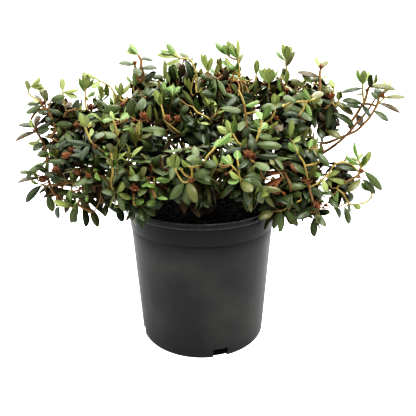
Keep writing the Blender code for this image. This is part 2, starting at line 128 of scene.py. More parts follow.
# Foliage masses, as in their solids: name, centre, reach, the limb that the bough grows from, and where on
# it.
MASSES = (
    ("left_far", (-0.230, 0.010, 0.340), 0.064, "trunk", 0.244),
    ("left_low", (-0.174, -0.070, 0.284), 0.070, "trunk", 0.233),
    ("upper_left", (-0.172, 0.022, 0.378), 0.064, "trunk", 0.260),
    ("top_left", (-0.085, 0.000, 0.430), 0.070, "trunk", 0.271),
    ("top_centre", (0.048, 0.000, 0.436), 0.072, "trunk", 0.271),
    ("top_right", (0.130, 0.000, 0.424), 0.070, "trunk", 0.262),
    ("right_upper", (0.198, 0.022, 0.405), 0.066, "trunk", 0.250),
    ("right_arm_high", (0.275, 0.000, 0.402), 0.056, "trunk", 0.238),
    ("right_low", (0.142, -0.080, 0.272), 0.068, "trunk", 0.232),
    ("front_left", (-0.090, -0.125, 0.306), 0.066, "trunk", 0.240),
    ("front_right", (0.068, -0.125, 0.330), 0.066, "trunk", 0.244),
    ("mid_left", (-0.096, -0.055, 0.365), 0.054, "trunk", 0.255),
    ("mid_right", (0.084, -0.055, 0.372), 0.054, "trunk", 0.255),
    ("back_left", (-0.165, 0.140, 0.345), 0.072, "trunk", 0.236),
    ("back_right", (0.165, 0.135, 0.350), 0.072, "trunk", 0.236),
    ("back_centre_left", (-0.062, 0.165, 0.380), 0.072, "trunk", 0.252),
    ("back_centre_right", (0.062, 0.170, 0.378), 0.072, "trunk", 0.248),
    ("left_top", (-0.238, 0.050, 0.392), 0.054, "left_far", 0.50),
    ("left_tip", (-0.228, -0.060, 0.288), 0.052, "left_low", 0.55),
    ("left_mid", (-0.160, -0.052, 0.338), 0.060, "left_low", 0.40),
    ("top_centre_left", (-0.034, 0.025, 0.428), 0.068, "top_centre", 0.35),
    ("right_mid", (0.154, -0.042, 0.328), 0.060, "right_low", 0.42),
    ("right_arm_low", (0.240, -0.030, 0.290), 0.060, "right_arm_high", 0.50),
    ("front_centre", (-0.012, -0.130, 0.318), 0.062, "front_right", 0.38),
    ("front_high", (-0.006, -0.070, 0.388), 0.056, "top_centre", 0.30),
    ("back_low_left", (-0.100, 0.190, 0.290), 0.066, "back_left", 0.45),
    ("back_low_right", (0.095, 0.190, 0.288), 0.066, "back_right", 0.45),
    ("centre", (0.012, 0.080, 0.345), 0.056, "back_centre_right", 0.35),
)
BOUGH_NODES = tuple("bough_" + row[0] for row in MASSES)
FOLIAGE_NODES = tuple("foliage_" + row[0] for row in MASSES)

# Main twigs, as in the solids.
LEADER_RADIUS = 0.0021
LEADER_STEPS = 8
TWIG_RADIUS = 0.0017
TWIGS_PER_MASS = 5
TWIG_JITTER = (0.92, 1.06)
MEAN_REACH = 0.066
TWIG_SPREAD = 1.45
CROWN_SQUASH = 0.92
WHORL_INSET = 0.039
FIRST_FORK = 0.22
LAST_FORK = 0.80

# Finer twigs, which the solids leave out.
FINE_SPREAD = 1.62
FINE_INSET = 0.025
FINE_JITTER = (0.62, 1.06)
FINE_RADIUS = 0.00130
FINE_TIP_RADIUS = 0.0009
LEAST_FINE_SPAN = 0.014
WHORL_SPACING = 0.0150
SHOOT_RADIUS = 0.00105
# How strongly twigs turn up to the light, and how far the high whorls stay below the tips of their shoots.
LIGHT_PULL = 1.2
SHOOT_ROOM = 0.022
HIGH_WHORLS = (0.36, 0.46)

# Old leaves: the odds of their tints, their lean from the twig in degrees, their sizes as shares of the
# settings, how they droop, curl and hang, and the older whorls down a twig as the place on it and how
# likely they are.
OLD_ODDS = (0.24, 0.22, 0.30, 0.19, 0.05)
OLD_LEAN = (58, 106)
OLD_LENGTHS = (0.74, 1.12)
OLD_WIDTHS = (0.86, 1.14)
OLD_DROOP = (0.1, 1.0)
OLD_CURL = (0.0, 0.6)
OLD_HANG = (0.0, 0.32)
OLDER_WHORLS = ((0.66, 0.6), (0.4, 0.5))
OLDER_TINTS = ("deep", "dark", "mid")
OLDER_SHARE = 0.9
# The leans that a leaf is tried at, as shares of its first one.
LEAN_SHARES = (1.0, 0.78, 0.56)

# Young leaves: the same, and how much wider each leaf of a tuft opens than the one above it.
YOUNG_ODDS = (0.42, 0.42, 0.16)
YOUNG_LEAN = (12, 38)
YOUNG_OPENING = 6
YOUNG_LENGTHS = (0.70, 1.15)
YOUNG_WIDTHS = (0.85, 1.15)
YOUNG_DROOP = (-0.1, 0.6)
YOUNG_CURL = (-0.5, 0.1)
YOUNG_SPACING = 0.0018
TUFT_LEAVES = (4, 7)
# Heights between which shoots grow ever more often and longer.
LIT_HEIGHTS = (0.30, 0.42)
SIDE_LEAF_STEPS = (3, 4, 5)
SIDE_LEAF_ODDS = 0.45
LONG_SHOOT = 0.022

# The camera, as fitted to the pot's outline in the photograph: where it stands, and how it is turned. Its
# lens and its sensor are in millimetres, and the photograph is as high as it is wide.
SIGHT = Vector((0, -0.7285, 0.4718))
CAMERA_PITCH = 0.3237
CAMERA_YAW = 0.0146
CAMERA_ROLL = 0.0046
LENS = 38.155
SENSOR_WIDTH = 36
PHOTO_PIXELS = 416

# What stands out in the photograph, noted in its pixels, across and down from its top left corner.
NOTED_SEED_HEADS = (
    (123, 103), (133, 104), (143, 118), (170, 121), (179, 122), (90, 175), (109, 192), (148, 178), (163, 187),
    (192, 180), (317, 203), (115, 205), (303, 185), (55, 103), (69, 155), (255, 157),
)
NOTED_WHORLS = (
    (317, 206), (331, 207), (281, 213), (140, 205), (92, 212), (167, 139), (172, 146), (178, 152), (184, 146),
    (176, 137), (211, 146), (218, 152), (223, 143), (212, 158), (160, 165), (156, 171), (264, 190),
    (275, 178), (318, 170), (320, 182), (312, 190), (190, 158), (150, 168), (113, 167), (95, 170),
)
# Open sky, and places where nothing grows but the sprays below: discs as across, down and radius.
OPEN_SKY = (
    (366, 92, 22), (387, 100, 24), (352, 106, 12), (352, 135, 13), (343, 82, 12), (365, 165, 17),
    (374, 190, 19), (355, 207, 14), (390, 150, 22), (370, 135, 16), (25, 95, 17), (22, 115, 14),
    (18, 135, 14), (24, 152, 12), (20, 168, 13), (18, 190, 14), (30, 200, 9), (45, 220, 12), (34, 118, 6),
    (52, 86, 8), (72, 97, 5), (104, 72, 10), (112, 60, 18), (128, 66, 9), (122, 78, 7), (148, 50, 13),
    (150, 63, 5), (150, 75, 4), (126, 92, 5), (196, 50, 9), (213, 50, 8), (214, 62, 4), (250, 52, 13),
    (249, 66, 7), (266, 54, 13), (277, 62, 5), (304, 58, 16), (300, 72, 5), (337, 66, 15), (343, 92, 6),
    (308, 66, 6), (236, 45, 9), (170, 50, 12), (287, 50, 12), (230, 52, 10), (133, 48, 8), (205, 60, 6),
    (256, 66, 6), (240, 60, 6), (285, 70, 7), (180, 62, 8), (62, 85, 8), (86, 78, 9), (100, 76, 7),
    (30, 140, 8), (390, 85, 12), (35, 95, 9), (328, 210, 5), (110, 228, 10), (62, 215, 6), (335, 153, 9),
    (80, 233, 12), (105, 228, 7), (122, 228, 6), (290, 227, 10), (277, 223, 7), (310, 226, 8), (72, 98, 6),
    (345, 150, 7),
)
# Sprays noted stem by stem and leaf by leaf: the depth at which a spray lies, in metres, its stems from
# foot to tip, its leaves by tint, each as its foot, its tip and the share of its width that is seen, and
# its seed heads, each as its place and its size.
Spray = namedtuple("Spray", "name depth stems leaves heads")
NOTED_SPRAYS = (
    Spray("right arm", 0.005, (
        ("twig", ((321, 144), (329, 142), (342, 137), (355, 131), (362, 126), (369, 118), (374, 111),
            (377, 105), (379, 98), (380, 94))),
        ("twig", ((349, 125), (356, 115), (361, 107), (365, 100), (367, 92), (369, 87))),
        ("twig", ((363, 104), (369, 104), (376, 106))),
        ("shoot", ((364, 102), (363, 92), (363, 82))),
        ("shoot", ((380, 97), (384, 91), (389, 89))),
        ("shoot", ((376, 106), (384, 98), (388, 97))),
    ), {
        "deep": ((361, 90, 341, 93, 0.35), (359, 106, 345, 106, 0.3), (332, 106, 331, 131, 0.8),
            (364, 107, 369, 117, 0.2), (380, 97, 375, 88, 0.6), (318, 128, 322, 140, 0.8)),
        "dark": ((361, 102, 342, 101, 0.6), (333, 113, 354, 129, 0.6), (329, 100, 327, 130, 0.9),
            (374, 112, 388, 121, 0.5), (369, 87, 372, 75, 0.5), (379, 99, 371, 94, 0.4),
            (381, 95, 388, 89, 0.4), (322, 137, 339, 129, 0.5), (322, 123, 320, 135, 0.6)),
        "olive": ((334, 102, 353, 115, 0.7), (372, 88, 396, 90, 0.6), (384, 97, 406, 97, 0.4),
            (363, 96, 357, 95, 0.2), (326, 131, 341, 138, 0.7)),
        "bronze": ((357, 114, 362, 125, 0.9), (380, 104, 400, 113, 0.4), (321, 139, 329, 130, 0.9)),
        "light": ((363, 84, 364, 70, 0.9), (364, 85, 369, 72, 0.8), (363, 83, 361, 73, 0.7),
            (374, 83, 377, 75, 0.4), (375, 87, 375, 80, 0.5), (385, 88, 385, 81, 0.5),
            (389, 90, 391, 80, 0.5)),
        "green": ((363, 84, 357, 69, 0.4),),
    }, ((370, 84, 0.55), (382, 95, 0.8), (367, 90, 0.5),)),
    Spray("right shoulder", 0, (
        ("twig", ((320, 90), (320, 80), (320, 74), (321, 69))),
        ("twig", ((326, 108), (331, 102), (332, 98))),
        ("shoot", ((332, 96), (334, 90), (333, 86))),
        ("shoot", ((336, 106), (339, 100))),
    ), {
        "olive": ((322, 66, 327, 60, 0.8), (303, 86, 289, 80, 0.9), (322, 80, 309, 80, 0.6),
            (331, 92, 317, 89, 0.8)),
        "bronze": ((320, 77, 297, 72, 0.4),),
        "light": ((319, 66, 316, 57, 0.4), (334, 90, 330, 79, 0.8), (339, 100, 337, 92, 0.6),
            (339, 100, 341, 91, 0.4), (312, 84, 302, 73, 0.7), (311, 83, 306, 71, 0.5)),
        "green": ((324, 79, 326, 75, 0.4),),
    }, ((321, 66, 0.75), (331, 95, 1.15),)),
    Spray("right low", -0.055, (
        ("twig", ((344, 182), (350, 180), (357, 176), (361, 172), (364, 171))),
        ("shoot", ((358, 171), (352, 165), (343, 162), (336, 164), (331, 170), (327, 178))),
        ("shoot", ((337, 188), (343, 194), (349, 204))),
        ("shoot", ((350, 204), (360, 204), (368, 201), (372, 195), (370, 190))),
        ("shoot", ((361, 171), (360, 164), (358, 160))),
    ), {
        "deep": ((357, 171, 336, 166, 0.6), (352, 177, 341, 173, 0.5), (338, 193, 346, 203, 0.7),
            (316, 211, 330, 213, 0.7)),
        "dark": ((362, 179, 376, 194, 0.5), (348, 191, 350, 202, 0.7), (344, 207, 349, 224, 0.6),
            (334, 208, 339, 217, 0.4), (329, 198, 337, 208, 0.7), (333, 185, 350, 187, 0.3)),
        "mid": ((367, 169, 382, 190, 0.8),),
        "olive": ((360, 180, 349, 192, 0.8),),
        "light": ((361, 168, 371, 151, 0.95), (357, 164, 352, 157, 0.5), (358, 162, 361, 153, 0.7),
            (352, 205, 361, 209, 0.9), (350, 205, 349, 212, 0.5), (327, 179, 341, 168, 0.8),
            (327, 180, 348, 183, 0.8), (331, 188, 330, 175, 0.6)),
        "green": ((358, 166, 345, 156, 0.6), (357, 157, 354, 142, 0.3), (361, 166, 366, 156, 0.6),
            (370, 192, 361, 183, 0.7), (336, 193, 337, 203, 0.4)),
    }, ((361, 170, 0.8),)),
    Spray("left tip", 0.02, (
        ("twig", ((56, 130), (54, 125), (51, 117), (48, 111), (44, 107), (41, 103), (40, 99))),
        ("shoot", ((40, 101), (33, 97), (29, 94), (28.5, 90), (31, 86))),
        ("twig", ((47, 109), (40, 110), (35, 113), (31, 119))),
        ("twig", ((48, 163), (48, 157), (46, 150), (43, 143), (40, 137), (37, 132), (36, 126))),
        ("shoot", ((66, 110), (64, 101), (63, 92))),
        ("twig", ((64, 117), (66, 113), (70, 111), (77, 109))),
    ), {
        "deep": ((47, 112, 39, 114, 0.3), (51, 121, 46, 121, 0.8), (34, 128, 18, 125, 0.4),
            (40, 145, 33, 151, 0.8), (41, 101, 36, 95, 0.4)),
        "dark": ((41, 104, 27, 104, 0.6), (49, 107, 64, 115, 0.7), (37, 129, 51, 125, 0.5),
            (40, 133, 50, 129, 0.6), (42, 137, 50, 148, 0.6)),
        "mid": ((42, 106, 26, 113, 0.5), (51, 100, 65, 97, 0.8), (55, 125, 73, 125, 0.9)),
        "olive": ((46, 102, 41, 88, 0.9), (47, 101, 47, 90, 0.5)),
        "bronze": ((37, 133, 15, 142, 0.25), (62, 109, 72, 105, 0.3), (36, 126, 41, 117, 0.3),
            (36, 126, 36, 116, 0.3)),
        "light": ((28, 92, 27, 80, 0.6), (31, 88, 43, 84, 0.5), (31, 88, 45, 88, 0.6), (34, 86, 41, 78, 0.6),
            (37, 102, 33, 102, 0.5), (32, 119, 33, 128, 0.6), (63, 90, 62, 78, 0.9), (64, 90, 79, 90, 0.5),
            (66, 90, 78, 98, 0.7), (39, 139, 34, 143, 0.5), (55, 137, 52, 127, 0.9), (58, 138, 59, 127, 0.7),
            (56, 139, 45, 136, 0.4)),
        "yellow": ((40, 144, 28, 143, 0.8),),
    }, ((36, 129, 0.9), (43, 103, 0.6),)),
    Spray("left low", -0.045, (
        ("twig", ((57, 196), (52, 189), (49, 182), (47, 176))),
        ("twig", ((79, 205), (80, 199), (79, 194))),
        ("shoot", ((79, 196), (72, 190), (71, 182))),
        ("shoot", ((82, 197), (85, 192))),
        ("shoot", ((48, 176), (48, 168), (47, 162))),
    ), {
        "deep": ((42, 185, 26, 202, 0.8), (43, 172, 35, 167, 0.5), (73, 208, 75, 223, 0.7),
            (84, 208, 86, 227, 0.8), (118, 205, 122, 222, 0.9), (59, 207, 57, 218, 0.5)),
        "dark": ((48, 153, 37, 156, 0.95), (50, 162, 69, 163, 0.5), (30, 172, 21, 174, 0.25),
            (86, 194, 104, 199, 0.5)),
        "mid": ((42, 162, 26, 178, 0.6), (44, 186, 52, 198, 0.7), (48, 195, 53, 212, 1),
            (77, 194, 57, 192, 0.7), (79, 203, 71, 223, 0.9), (86, 198, 106, 216, 0.6),
            (84, 191, 104, 186, 0.8), (78, 186, 50, 180, 0.9), (106, 203, 106, 217, 0.6)),
        "olive": ((80, 197, 90, 213, 1), (90, 208, 98, 227, 0.8)),
        "bronze": ((39, 179, 17, 184, 0.3), (64, 200, 66, 212, 0.6)),
        "light": ((38, 181, 34, 170, 0.5), (49, 172, 46, 163, 0.6), (39, 184, 30, 180, 0.3),
            (72, 188, 79, 168, 0.7), (72, 184, 71, 171, 0.5), (85, 197, 85, 181, 0.6)),
    }, ((45, 155, 0.45), (43, 178, 1.3), (79, 193, 0.8),)),
    Spray("top left", 0, (
        ("twig", ((147, 90), (144, 79), (143, 72), (141, 66), (141, 60), (138, 55))),
        ("shoot", ((121, 100), (121, 96), (122, 92))),
        ("twig", ((139, 82), (136, 70), (135, 64))),
        ("shoot", ((139, 99), (134, 91), (134, 86))),
    ), {
        "deep": ((141, 60, 153, 61, 0.2), (142, 68, 157, 69, 0.3), (145, 80, 146, 72, 0.8),
            (150, 83, 156, 72, 0.6)),
        "dark": ((132, 65, 119, 64, 0.35), (134, 67, 139, 76, 0.9)),
        "olive": ((141, 87, 158, 85, 0.5),),
        "light": ((137, 55, 126, 50, 0.6), (121, 97, 115, 84, 0.4), (121, 97, 121, 82, 0.8),
            (122, 96, 130, 85, 0.5)),
        "green": ((138, 55, 130, 43, 0.6), (137, 55, 129, 47, 0.5), (133, 68, 135, 86, 0.9),
            (133, 86, 127, 76, 0.4)),
    }, ((135, 62, 0.6),)),
    Spray("top centre left", 0.01, (
        ("shoot", ((196, 84), (197, 77), (194, 68), (190, 60), (184, 59), (179, 58))),
        ("shoot", ((217, 81), (212, 76), (207, 71))),
        ("shoot", ((217, 84), (216, 76))),
        ("shoot", ((191, 92), (193, 80), (197, 73))),
        ("shoot", ((201, 116), (196, 108))),
    ), {
        "deep": ((183, 62, 192, 79, 0.6),),
        "dark": ((197, 70, 196, 63, 0.5), (191, 62, 193, 59, 0.4), (176, 80, 169, 66, 0.8),
            (165, 78, 152, 76, 0.6)),
        "mid": ((187, 61, 181, 52, 0.7),),
        "olive": ((176, 72, 178, 61, 0.6),),
        "bronze": ((180, 78, 184, 64, 0.9), (186, 82, 190, 68, 0.8)),
        "light": ((178, 57, 157, 55, 0.7), (182, 60, 165, 65, 0.4), (197, 108, 182, 90, 1),
            (207, 72, 201, 53, 0.5), (207, 72, 205, 54, 0.6), (208, 72, 212, 57, 0.6),
            (206, 72, 208, 60, 0.8), (216, 77, 218, 64, 0.6), (165, 80, 165, 60, 0.4),
            (190, 92, 184, 76, 0.5), (192, 92, 189, 78, 0.5), (170, 84, 165, 70, 0.9)),
        "green": ((175, 54, 160, 50, 0.4), (177, 54, 167, 43, 0.7), (179, 81, 172, 62, 0.8),
            (204, 110, 195, 97, 0.7), (215, 77, 212, 68, 0.4)),
        "yellow": ((180, 59, 166, 44, 0.6),),
    }, ((182, 66, 0.7),)),
    Spray("top centre", 0, (
        ("shoot", ((240, 98), (240, 86), (240, 75), (239, 65), (238, 59))),
        ("shoot", ((239, 76), (234, 70))),
        ("shoot", ((240, 78), (235, 80), (231, 83))),
        ("shoot", ((228, 108), (223, 99), (220, 94))),
        ("shoot", ((250, 110), (246, 102), (243, 96))),
        ("shoot", ((255, 92), (255, 84), (256, 75))),
    ), {
        "olive": ((240, 66, 243, 53, 0.6),),
        "bronze": ((223, 84, 228, 69, 0.7),),
        "light": ((229, 57, 228, 40, 0.5), (237, 58, 230, 43, 0.8), (244, 97, 231, 82, 0.7),
            (243, 96, 243, 75, 0.8), (246, 94, 255, 81, 0.5), (256, 75, 257, 60, 0.9)),
        "green": ((228, 56, 215, 43, 0.7), (229, 57, 223, 44, 0.5), (237, 60, 229, 46, 0.8),
            (238, 71, 221, 61, 0.7), (238, 77, 230, 74, 0.2), (229, 70, 238, 62, 0.4)),
        "yellow": ((236, 55, 238, 39, 0.3), (232, 67, 225, 57, 0.5)),
    }, ((228, 91, 1.3), (251, 83, 0.5),)),
    Spray("top right", 0, (
        ("shoot", ((258, 104), (263, 99), (268, 92), (269, 84))),
        ("shoot", ((284, 100), (286, 88), (287, 76), (286, 66), (286, 60))),
        ("shoot", ((274, 112), (273, 100), (273, 92))),
    ), {
        "mid": ((286, 68, 283, 75, 0.5),),
        "olive": ((288, 65, 295, 52, 0.5), (273, 94, 274, 86, 0.7)),
        "light": ((269, 85, 261, 69, 0.7), (269, 85, 264, 68, 0.8), (269, 85, 269, 67, 0.8),
            (270, 84, 273, 69, 0.8), (286, 60, 283, 44, 0.6), (286, 60, 287, 45, 0.9),
            (287, 60, 291, 46, 0.8), (286, 84, 282, 72, 0.6), (287, 86, 288, 70, 0.7)),
        "green": ((264, 84, 259, 69, 0.3), (271, 83, 278, 70, 0.2), (285, 62, 276, 51, 0.25),
            (280, 92, 278, 78, 0.4), (284, 92, 278, 96, 0.4)),
    }, ((287, 90, 0.8),)),
    Spray("upper left tufts", 0.03, (
        ("shoot", ((85, 104), (85, 96), (85, 88))),
        ("shoot", ((116, 102), (114, 92), (108, 85), (100, 81), (94, 77))),
        ("shoot", ((88, 100), (86, 97))),
    ), {
        "light": ((85, 90, 84, 72, 0.8), (86, 90, 90, 77, 0.7), (94, 78, 83, 75, 0.7), (100, 82, 92, 88, 0.8),
            (104, 83, 108, 96, 0.8), (98, 80, 86, 73, 0.5)),
        "green": ((85, 92, 79, 78, 0.6), (87, 90, 94, 79, 0.4), (86, 98, 95, 91, 0.6)),
    }, ((91, 106, 1.1),)),
    Spray("front left", -0.165, (
        ("shoot", ((188, 182), (183, 182), (180, 178), (177, 173), (175, 168))),
        ("shoot", ((189, 178), (185, 175), (182, 171), (180, 168))),
        ("shoot", ((192, 178), (192, 171), (190, 167), (187, 166))),
        ("shoot", ((203, 163), (207, 157), (212, 151), (215, 147))),
    ), {
        "dark": ((190, 178, 171, 183, 0.6), (192, 186, 184, 198, 0.7), (203, 163, 216, 166, 0.8)),
        "mid": ((184, 183, 170, 199, 0.9), (188, 187, 187, 204, 0.9), (194, 176, 211, 172, 0.9),
            (196, 181, 215, 183, 0.8), (195, 146, 195, 158, 1), (202, 163, 186, 159, 0.7)),
        "olive": ((192, 184, 196, 203, 1),),
        "bronze": ((195, 186, 201, 190, 0.7),),
        "light": ((175, 168, 173, 153, 0.9), (174, 167, 167, 158, 0.8), (176, 166, 178, 156, 0.5),
            (188, 168, 181, 161, 0.6), (185, 170, 178, 166, 0.6)),
        "green": ((191, 167, 184, 160, 0.6), (213, 149, 222, 138, 0.8), (217, 145, 232, 133, 0.7)),
    }, ((191, 179, 0.9), (202, 163, 0.4),)),
    Spray("front far left", -0.145, (
        ("twig", ((150, 186), (149, 182), (148, 179))),
        ("shoot", ((154, 186), (154, 181), (154, 177))),
        ("shoot", ((134, 204), (134, 199), (133, 194))),
        ("shoot", ((111, 184), (113, 172), (112, 160), (110, 150))),
    ), {
        "deep": ((135, 206, 131, 220, 0.8), (137, 209, 140, 225, 0.8)),
        "dark": ((161, 155, 151, 172, 0.9), (139, 207, 144, 222, 0.9), (103, 190, 111, 196, 0.6)),
        "mid": ((148, 180, 129, 180, 0.5), (155, 186, 169, 198, 0.7), (146, 186, 139, 197, 0.6),
            (141, 140, 155, 150, 0.8), (143, 208, 156, 215, 0.6), (96, 155, 99, 168, 0.9)),
        "olive": ((140, 177, 142, 167, 0.5), (142, 177, 147, 168, 0.5), (111, 154, 111, 143, 0.9),
            (113, 165, 106, 162, 0.7)),
        "light": ((137, 177, 130, 167, 0.4), (133, 199, 119, 194, 0.7), (132, 208, 131, 203, 0.3),
            (116, 192, 124, 182, 0.7), (116, 195, 130, 199, 0.7)),
        "green": ((156, 179, 171, 179, 0.9), (153, 183, 152, 200, 0.9), (154, 184, 148, 187, 0.5),
            (148, 181, 142, 187, 0.6), (135, 200, 144, 202, 0.9), (110, 150, 103, 148, 0.6),
            (113, 168, 116, 160, 0.6), (109, 151, 105, 154, 0.5), (96, 172, 100, 181, 0.6),
            (93, 171, 99, 168, 0.7)),
    }, ((148, 178, 0.5), (154, 177, 0.35), (134, 194, 0.5), (88, 175, 0.8), (66, 155, 1.1),
        (108, 192, 0.6),)),
    Spray("front middle", -0.165, (
        ("shoot", ((243, 186), (240, 179), (238, 173), (234, 168), (231, 165))),
        ("shoot", ((239, 172), (238, 165), (237, 159))),
    ), {
        "dark": ((242, 188, 249, 205, 0.9), (238, 180, 221, 199, 0.5), (244, 174, 251, 161, 0.6)),
        "mid": ((243, 178, 262, 187, 0.9), (255, 162, 269, 171, 0.6), (246, 176, 262, 177, 0.6)),
        "olive": ((241, 180, 252, 192, 0.9),),
        "light": ((231, 166, 228, 154, 0.8), (238, 179, 229, 172, 0.6), (221, 168, 221, 160, 0.5),
            (218, 164, 213, 156, 0.5)),
        "green": ((232, 167, 221, 156, 0.9), (237, 160, 237, 150, 1), (237, 180, 228, 183, 0.7)),
    }, ((226, 174, 0.35),)),
    Spray("front right", -0.135, (
        ("twig", ((255, 180), (254, 168), (253, 160), (253, 155))),
        ("shoot", ((252, 157), (248, 154), (243, 151), (241, 146), (237, 141), (234, 136), (231, 131))),
        ("shoot", ((243, 150), (243, 144), (245, 139))),
        ("shoot", ((252, 154), (253, 147), (256, 141), (258, 135), (260, 127), (262, 120))),
    ), {
        "deep": ((257, 152, 278, 156, 0.8), (250, 134, 252, 151, 0.8)),
        "dark": ((242, 138, 244, 127, 0.8),),
        "mid": ((256, 145, 282, 147, 0.9), (258, 136, 272, 136, 0.6)),
        "light": ((232, 134, 217, 127, 0.8), (233, 135, 226, 120, 0.8), (235, 139, 224, 142, 0.5),
            (242, 147, 246, 136, 0.5), (256, 158, 257, 150, 0.4)),
        "green": ((234, 134, 234, 121, 0.8), (262, 121, 258, 111, 0.8), (263, 120, 270, 106, 0.9),
            (260, 128, 254, 120, 0.8), (261, 131, 267, 123, 0.9)),
    }, ((254, 155, 0.9),)),
    Spray("dead leaves", -0.115, (
        ("twig", ((290, 184), (287, 178), (285, 173), (281, 168))),
    ), {
        "dead": ((283, 174, 265, 173, 0.6), (285, 172, 270, 191, 0.8), (282, 178, 262, 187, 0.7),
            (288, 163, 298, 173, 0.5), (281, 191, 287, 198, 0.5)),
    }, ()),
    Spray("low right", -0.105, (
        ("shoot", ((302, 199), (293, 203), (288, 207), (283, 210), (280, 211))),
        ("shoot", ((308, 181), (306, 172), (304, 163), (300, 157), (297, 152), (293, 143))),
        ("shoot", ((309, 187), (318, 183), (325, 177), (330, 173))),
        ("twig", ((312, 200), (310, 192), (309, 187), (308, 180))),
        ("shoot", ((319, 162), (317, 152), (316, 144))),
    ), {
        "deep": ((311, 211, 296, 219, 0.9), (305, 192, 301, 210, 0.8)),
        "dark": ((316, 216, 314, 237, 0.9), (319, 214, 325, 227, 0.6), (321, 150, 329, 167, 0.6),
            (302, 180, 287, 178, 0.6), (310, 188, 322, 196, 0.8)),
        "mid": ((279, 213, 273, 229, 0.7), (281, 214, 281, 232, 0.7), (285, 212, 298, 226, 0.8),
            (305, 186, 285, 188, 0.9), (304, 176, 291, 163, 0.6)),
        "olive": ((274, 211, 259, 219, 0.9), (276, 208, 262, 195, 0.6), (317, 214, 318, 225, 0.6),
            (311, 176, 318, 166, 0.4)),
        "light": ((299, 156, 300, 145, 0.4), (290, 138, 292, 120, 0.8), (290, 140, 299, 136, 0.7),
            (318, 146, 316, 138, 0.6), (323, 180, 326, 192, 0.8)),
        "green": ((298, 155, 293, 141, 0.9), (297, 153, 288, 143, 0.8), (318, 153, 322, 149, 0.8),
            (309, 149, 312, 139, 0.9), (313, 171, 320, 177, 0.8)),
    }, ((308, 181, 0.9), (317, 205, 1.1), (326, 205, 0.6), (313, 211, 0.7), (282, 210, 0.35),)),
    Spray("middle left", -0.085, (
        ("shoot", ((166, 122), (164, 117), (162, 108), (160, 100), (157, 95))),
        ("shoot", ((139, 140), (139, 130), (140, 121))),
        ("shoot", ((212, 122), (209, 119), (203, 115), (197, 112), (193, 107))),
        ("shoot", ((117, 136), (116, 128), (113, 120))),
        ("shoot", ((104, 152), (97, 147), (91, 141), (87, 133), (84, 124))),
        ("twig", ((100, 152), (96, 149), (93, 143))),
    ), {
        "deep": ((181, 100, 172, 106, 0.5),),
        "dark": ((143, 98, 142, 111, 0.9), (180, 113, 189, 108, 0.7), (104, 132, 97, 139, 0.6),
            (170, 150, 178, 140, 0.5)),
        "mid": ((131, 117, 131, 99, 0.9), (122, 107, 103, 112, 1), (141, 130, 166, 130, 0.5),
            (166, 132, 153, 135, 0.5), (100, 134, 116, 137, 0.6), (120, 147, 128, 132, 0.8),
            (99, 121, 82, 124, 0.8)),
        "light": ((159, 107, 155, 90, 1), (161, 104, 160, 94, 0.5), (150, 118, 149, 105, 0.5),
            (140, 133, 140, 120, 0.6), (115, 135, 111, 122, 0.8), (117, 119, 112, 111, 0.5),
            (85, 128, 80, 113, 0.8), (84, 126, 88, 116, 0.6), (89, 138, 91, 128, 0.5)),
        "green": ((120, 120, 130, 113, 0.9), (113, 118, 103, 120, 0.6), (96, 114, 84, 117, 0.5)),
    }, ((122, 104, 0.6), (144, 115, 1.2), (134, 120, 0.5), (168, 118, 1), (178, 118, 1), (127, 120, 0.4),
        (76, 124, 0.6), (96, 147, 0.8),)),
    Spray("middle right", -0.08, (
        ("twig", ((248, 140), (247, 128), (246, 118), (245, 112), (244, 104))),
        ("shoot", ((244, 104), (241, 96), (238, 90))),
        ("shoot", ((283, 107), (290, 103), (297, 102), (304, 102), (311, 100), (315, 99))),
        ("shoot", ((306, 104), (303, 110), (299, 115))),
        ("shoot", ((270, 120), (275, 112), (275, 104))),
        ("shoot", ((256, 112), (260, 118), (262, 124))),
    ), {
        "deep": ((215, 98, 202, 92, 0.6), (300, 118, 282, 114, 0.4), (305, 122, 285, 122, 0.4),
            (310, 128, 297, 130, 0.3)),
        "dark": ((305, 114, 311, 121, 0.5),),
        "mid": ((220, 108, 241, 112, 0.5), (243, 121, 236, 132, 0.8), (296, 104, 283, 98, 0.5),
            (260, 108, 276, 109, 0.7)),
        "olive": ((312, 98, 322, 92, 0.7),),
        "bronze": ((274, 126, 282, 131, 0.6),),
        "light": ((276, 110, 274, 93, 1), (276, 104, 280, 96, 0.6)),
        "green": ((264, 118, 272, 104, 0.9), (309, 104, 312, 116, 0.5), (310, 97, 303, 90, 0.8),
            (249, 105, 259, 101, 0.5)),
    }, ((254, 108, 0.5), (276, 118, 0.7),)),
)

# How far a noted leaf's foot is moved to the nearest twig, how near to one noted leaves and stems start, the
# steps back in which that place is looked for, and the least share of a leaf's width that is seen.
FOOT_GAP = 0.008
LEAF_GAP = 0.020
STEM_GAP = 0.045
DEPTH_STEP = 0.008
DEPTH_STEPS = 20
LEAST_BREADTH = 0.38
# A noted stem's radius at its foot, and how much of it is left at its tip.
NOTED_STEMS = {"twig": (0.0025, 0.76), "shoot": (0.0018, 0.82)}
# Noted leaves: their sizes as shares of the settings, how they droop and curl, how far one that is seen
# short points aside, and a dead one's width.
NOTED_LENGTHS = (0.85, 1.0)
NOTED_WIDTHS = (1.1, 1.3)
NOTED_YOUNG_DROOP = (0.0, 0.5)
NOTED_OLD_DROOP = (0.5, 1.2)
NOTED_CURL = (0.1, 0.5)
ASIDE_SHARE = 0.9
DEAD_WIDTH = 0.6
# How much more a whorl counts as near to a spot when it stands further forward.
FRONT_PULL = 0.08
# How far behind a noted spray the growth stays, and the discs that keep the view of the spray clear.
SPRAY_CLEARANCE = 0.012
LEAF_SPOTS = (0.3, 0.55, 0.8)
LEAF_SPOT_RADIUS = 0.003
STEM_SPOT_RADIUS = 0.0035
HEAD_SPOT_RADIUS = 0.007

# How far leaves may stray past a mass's own space and reach, and how far they stay from limbs and the pot.
CELL_SLACK = 0.006
REACH_SLACK = 0.004
LIMB_MARGIN = 0.0006
POT_MARGIN = 0.0015


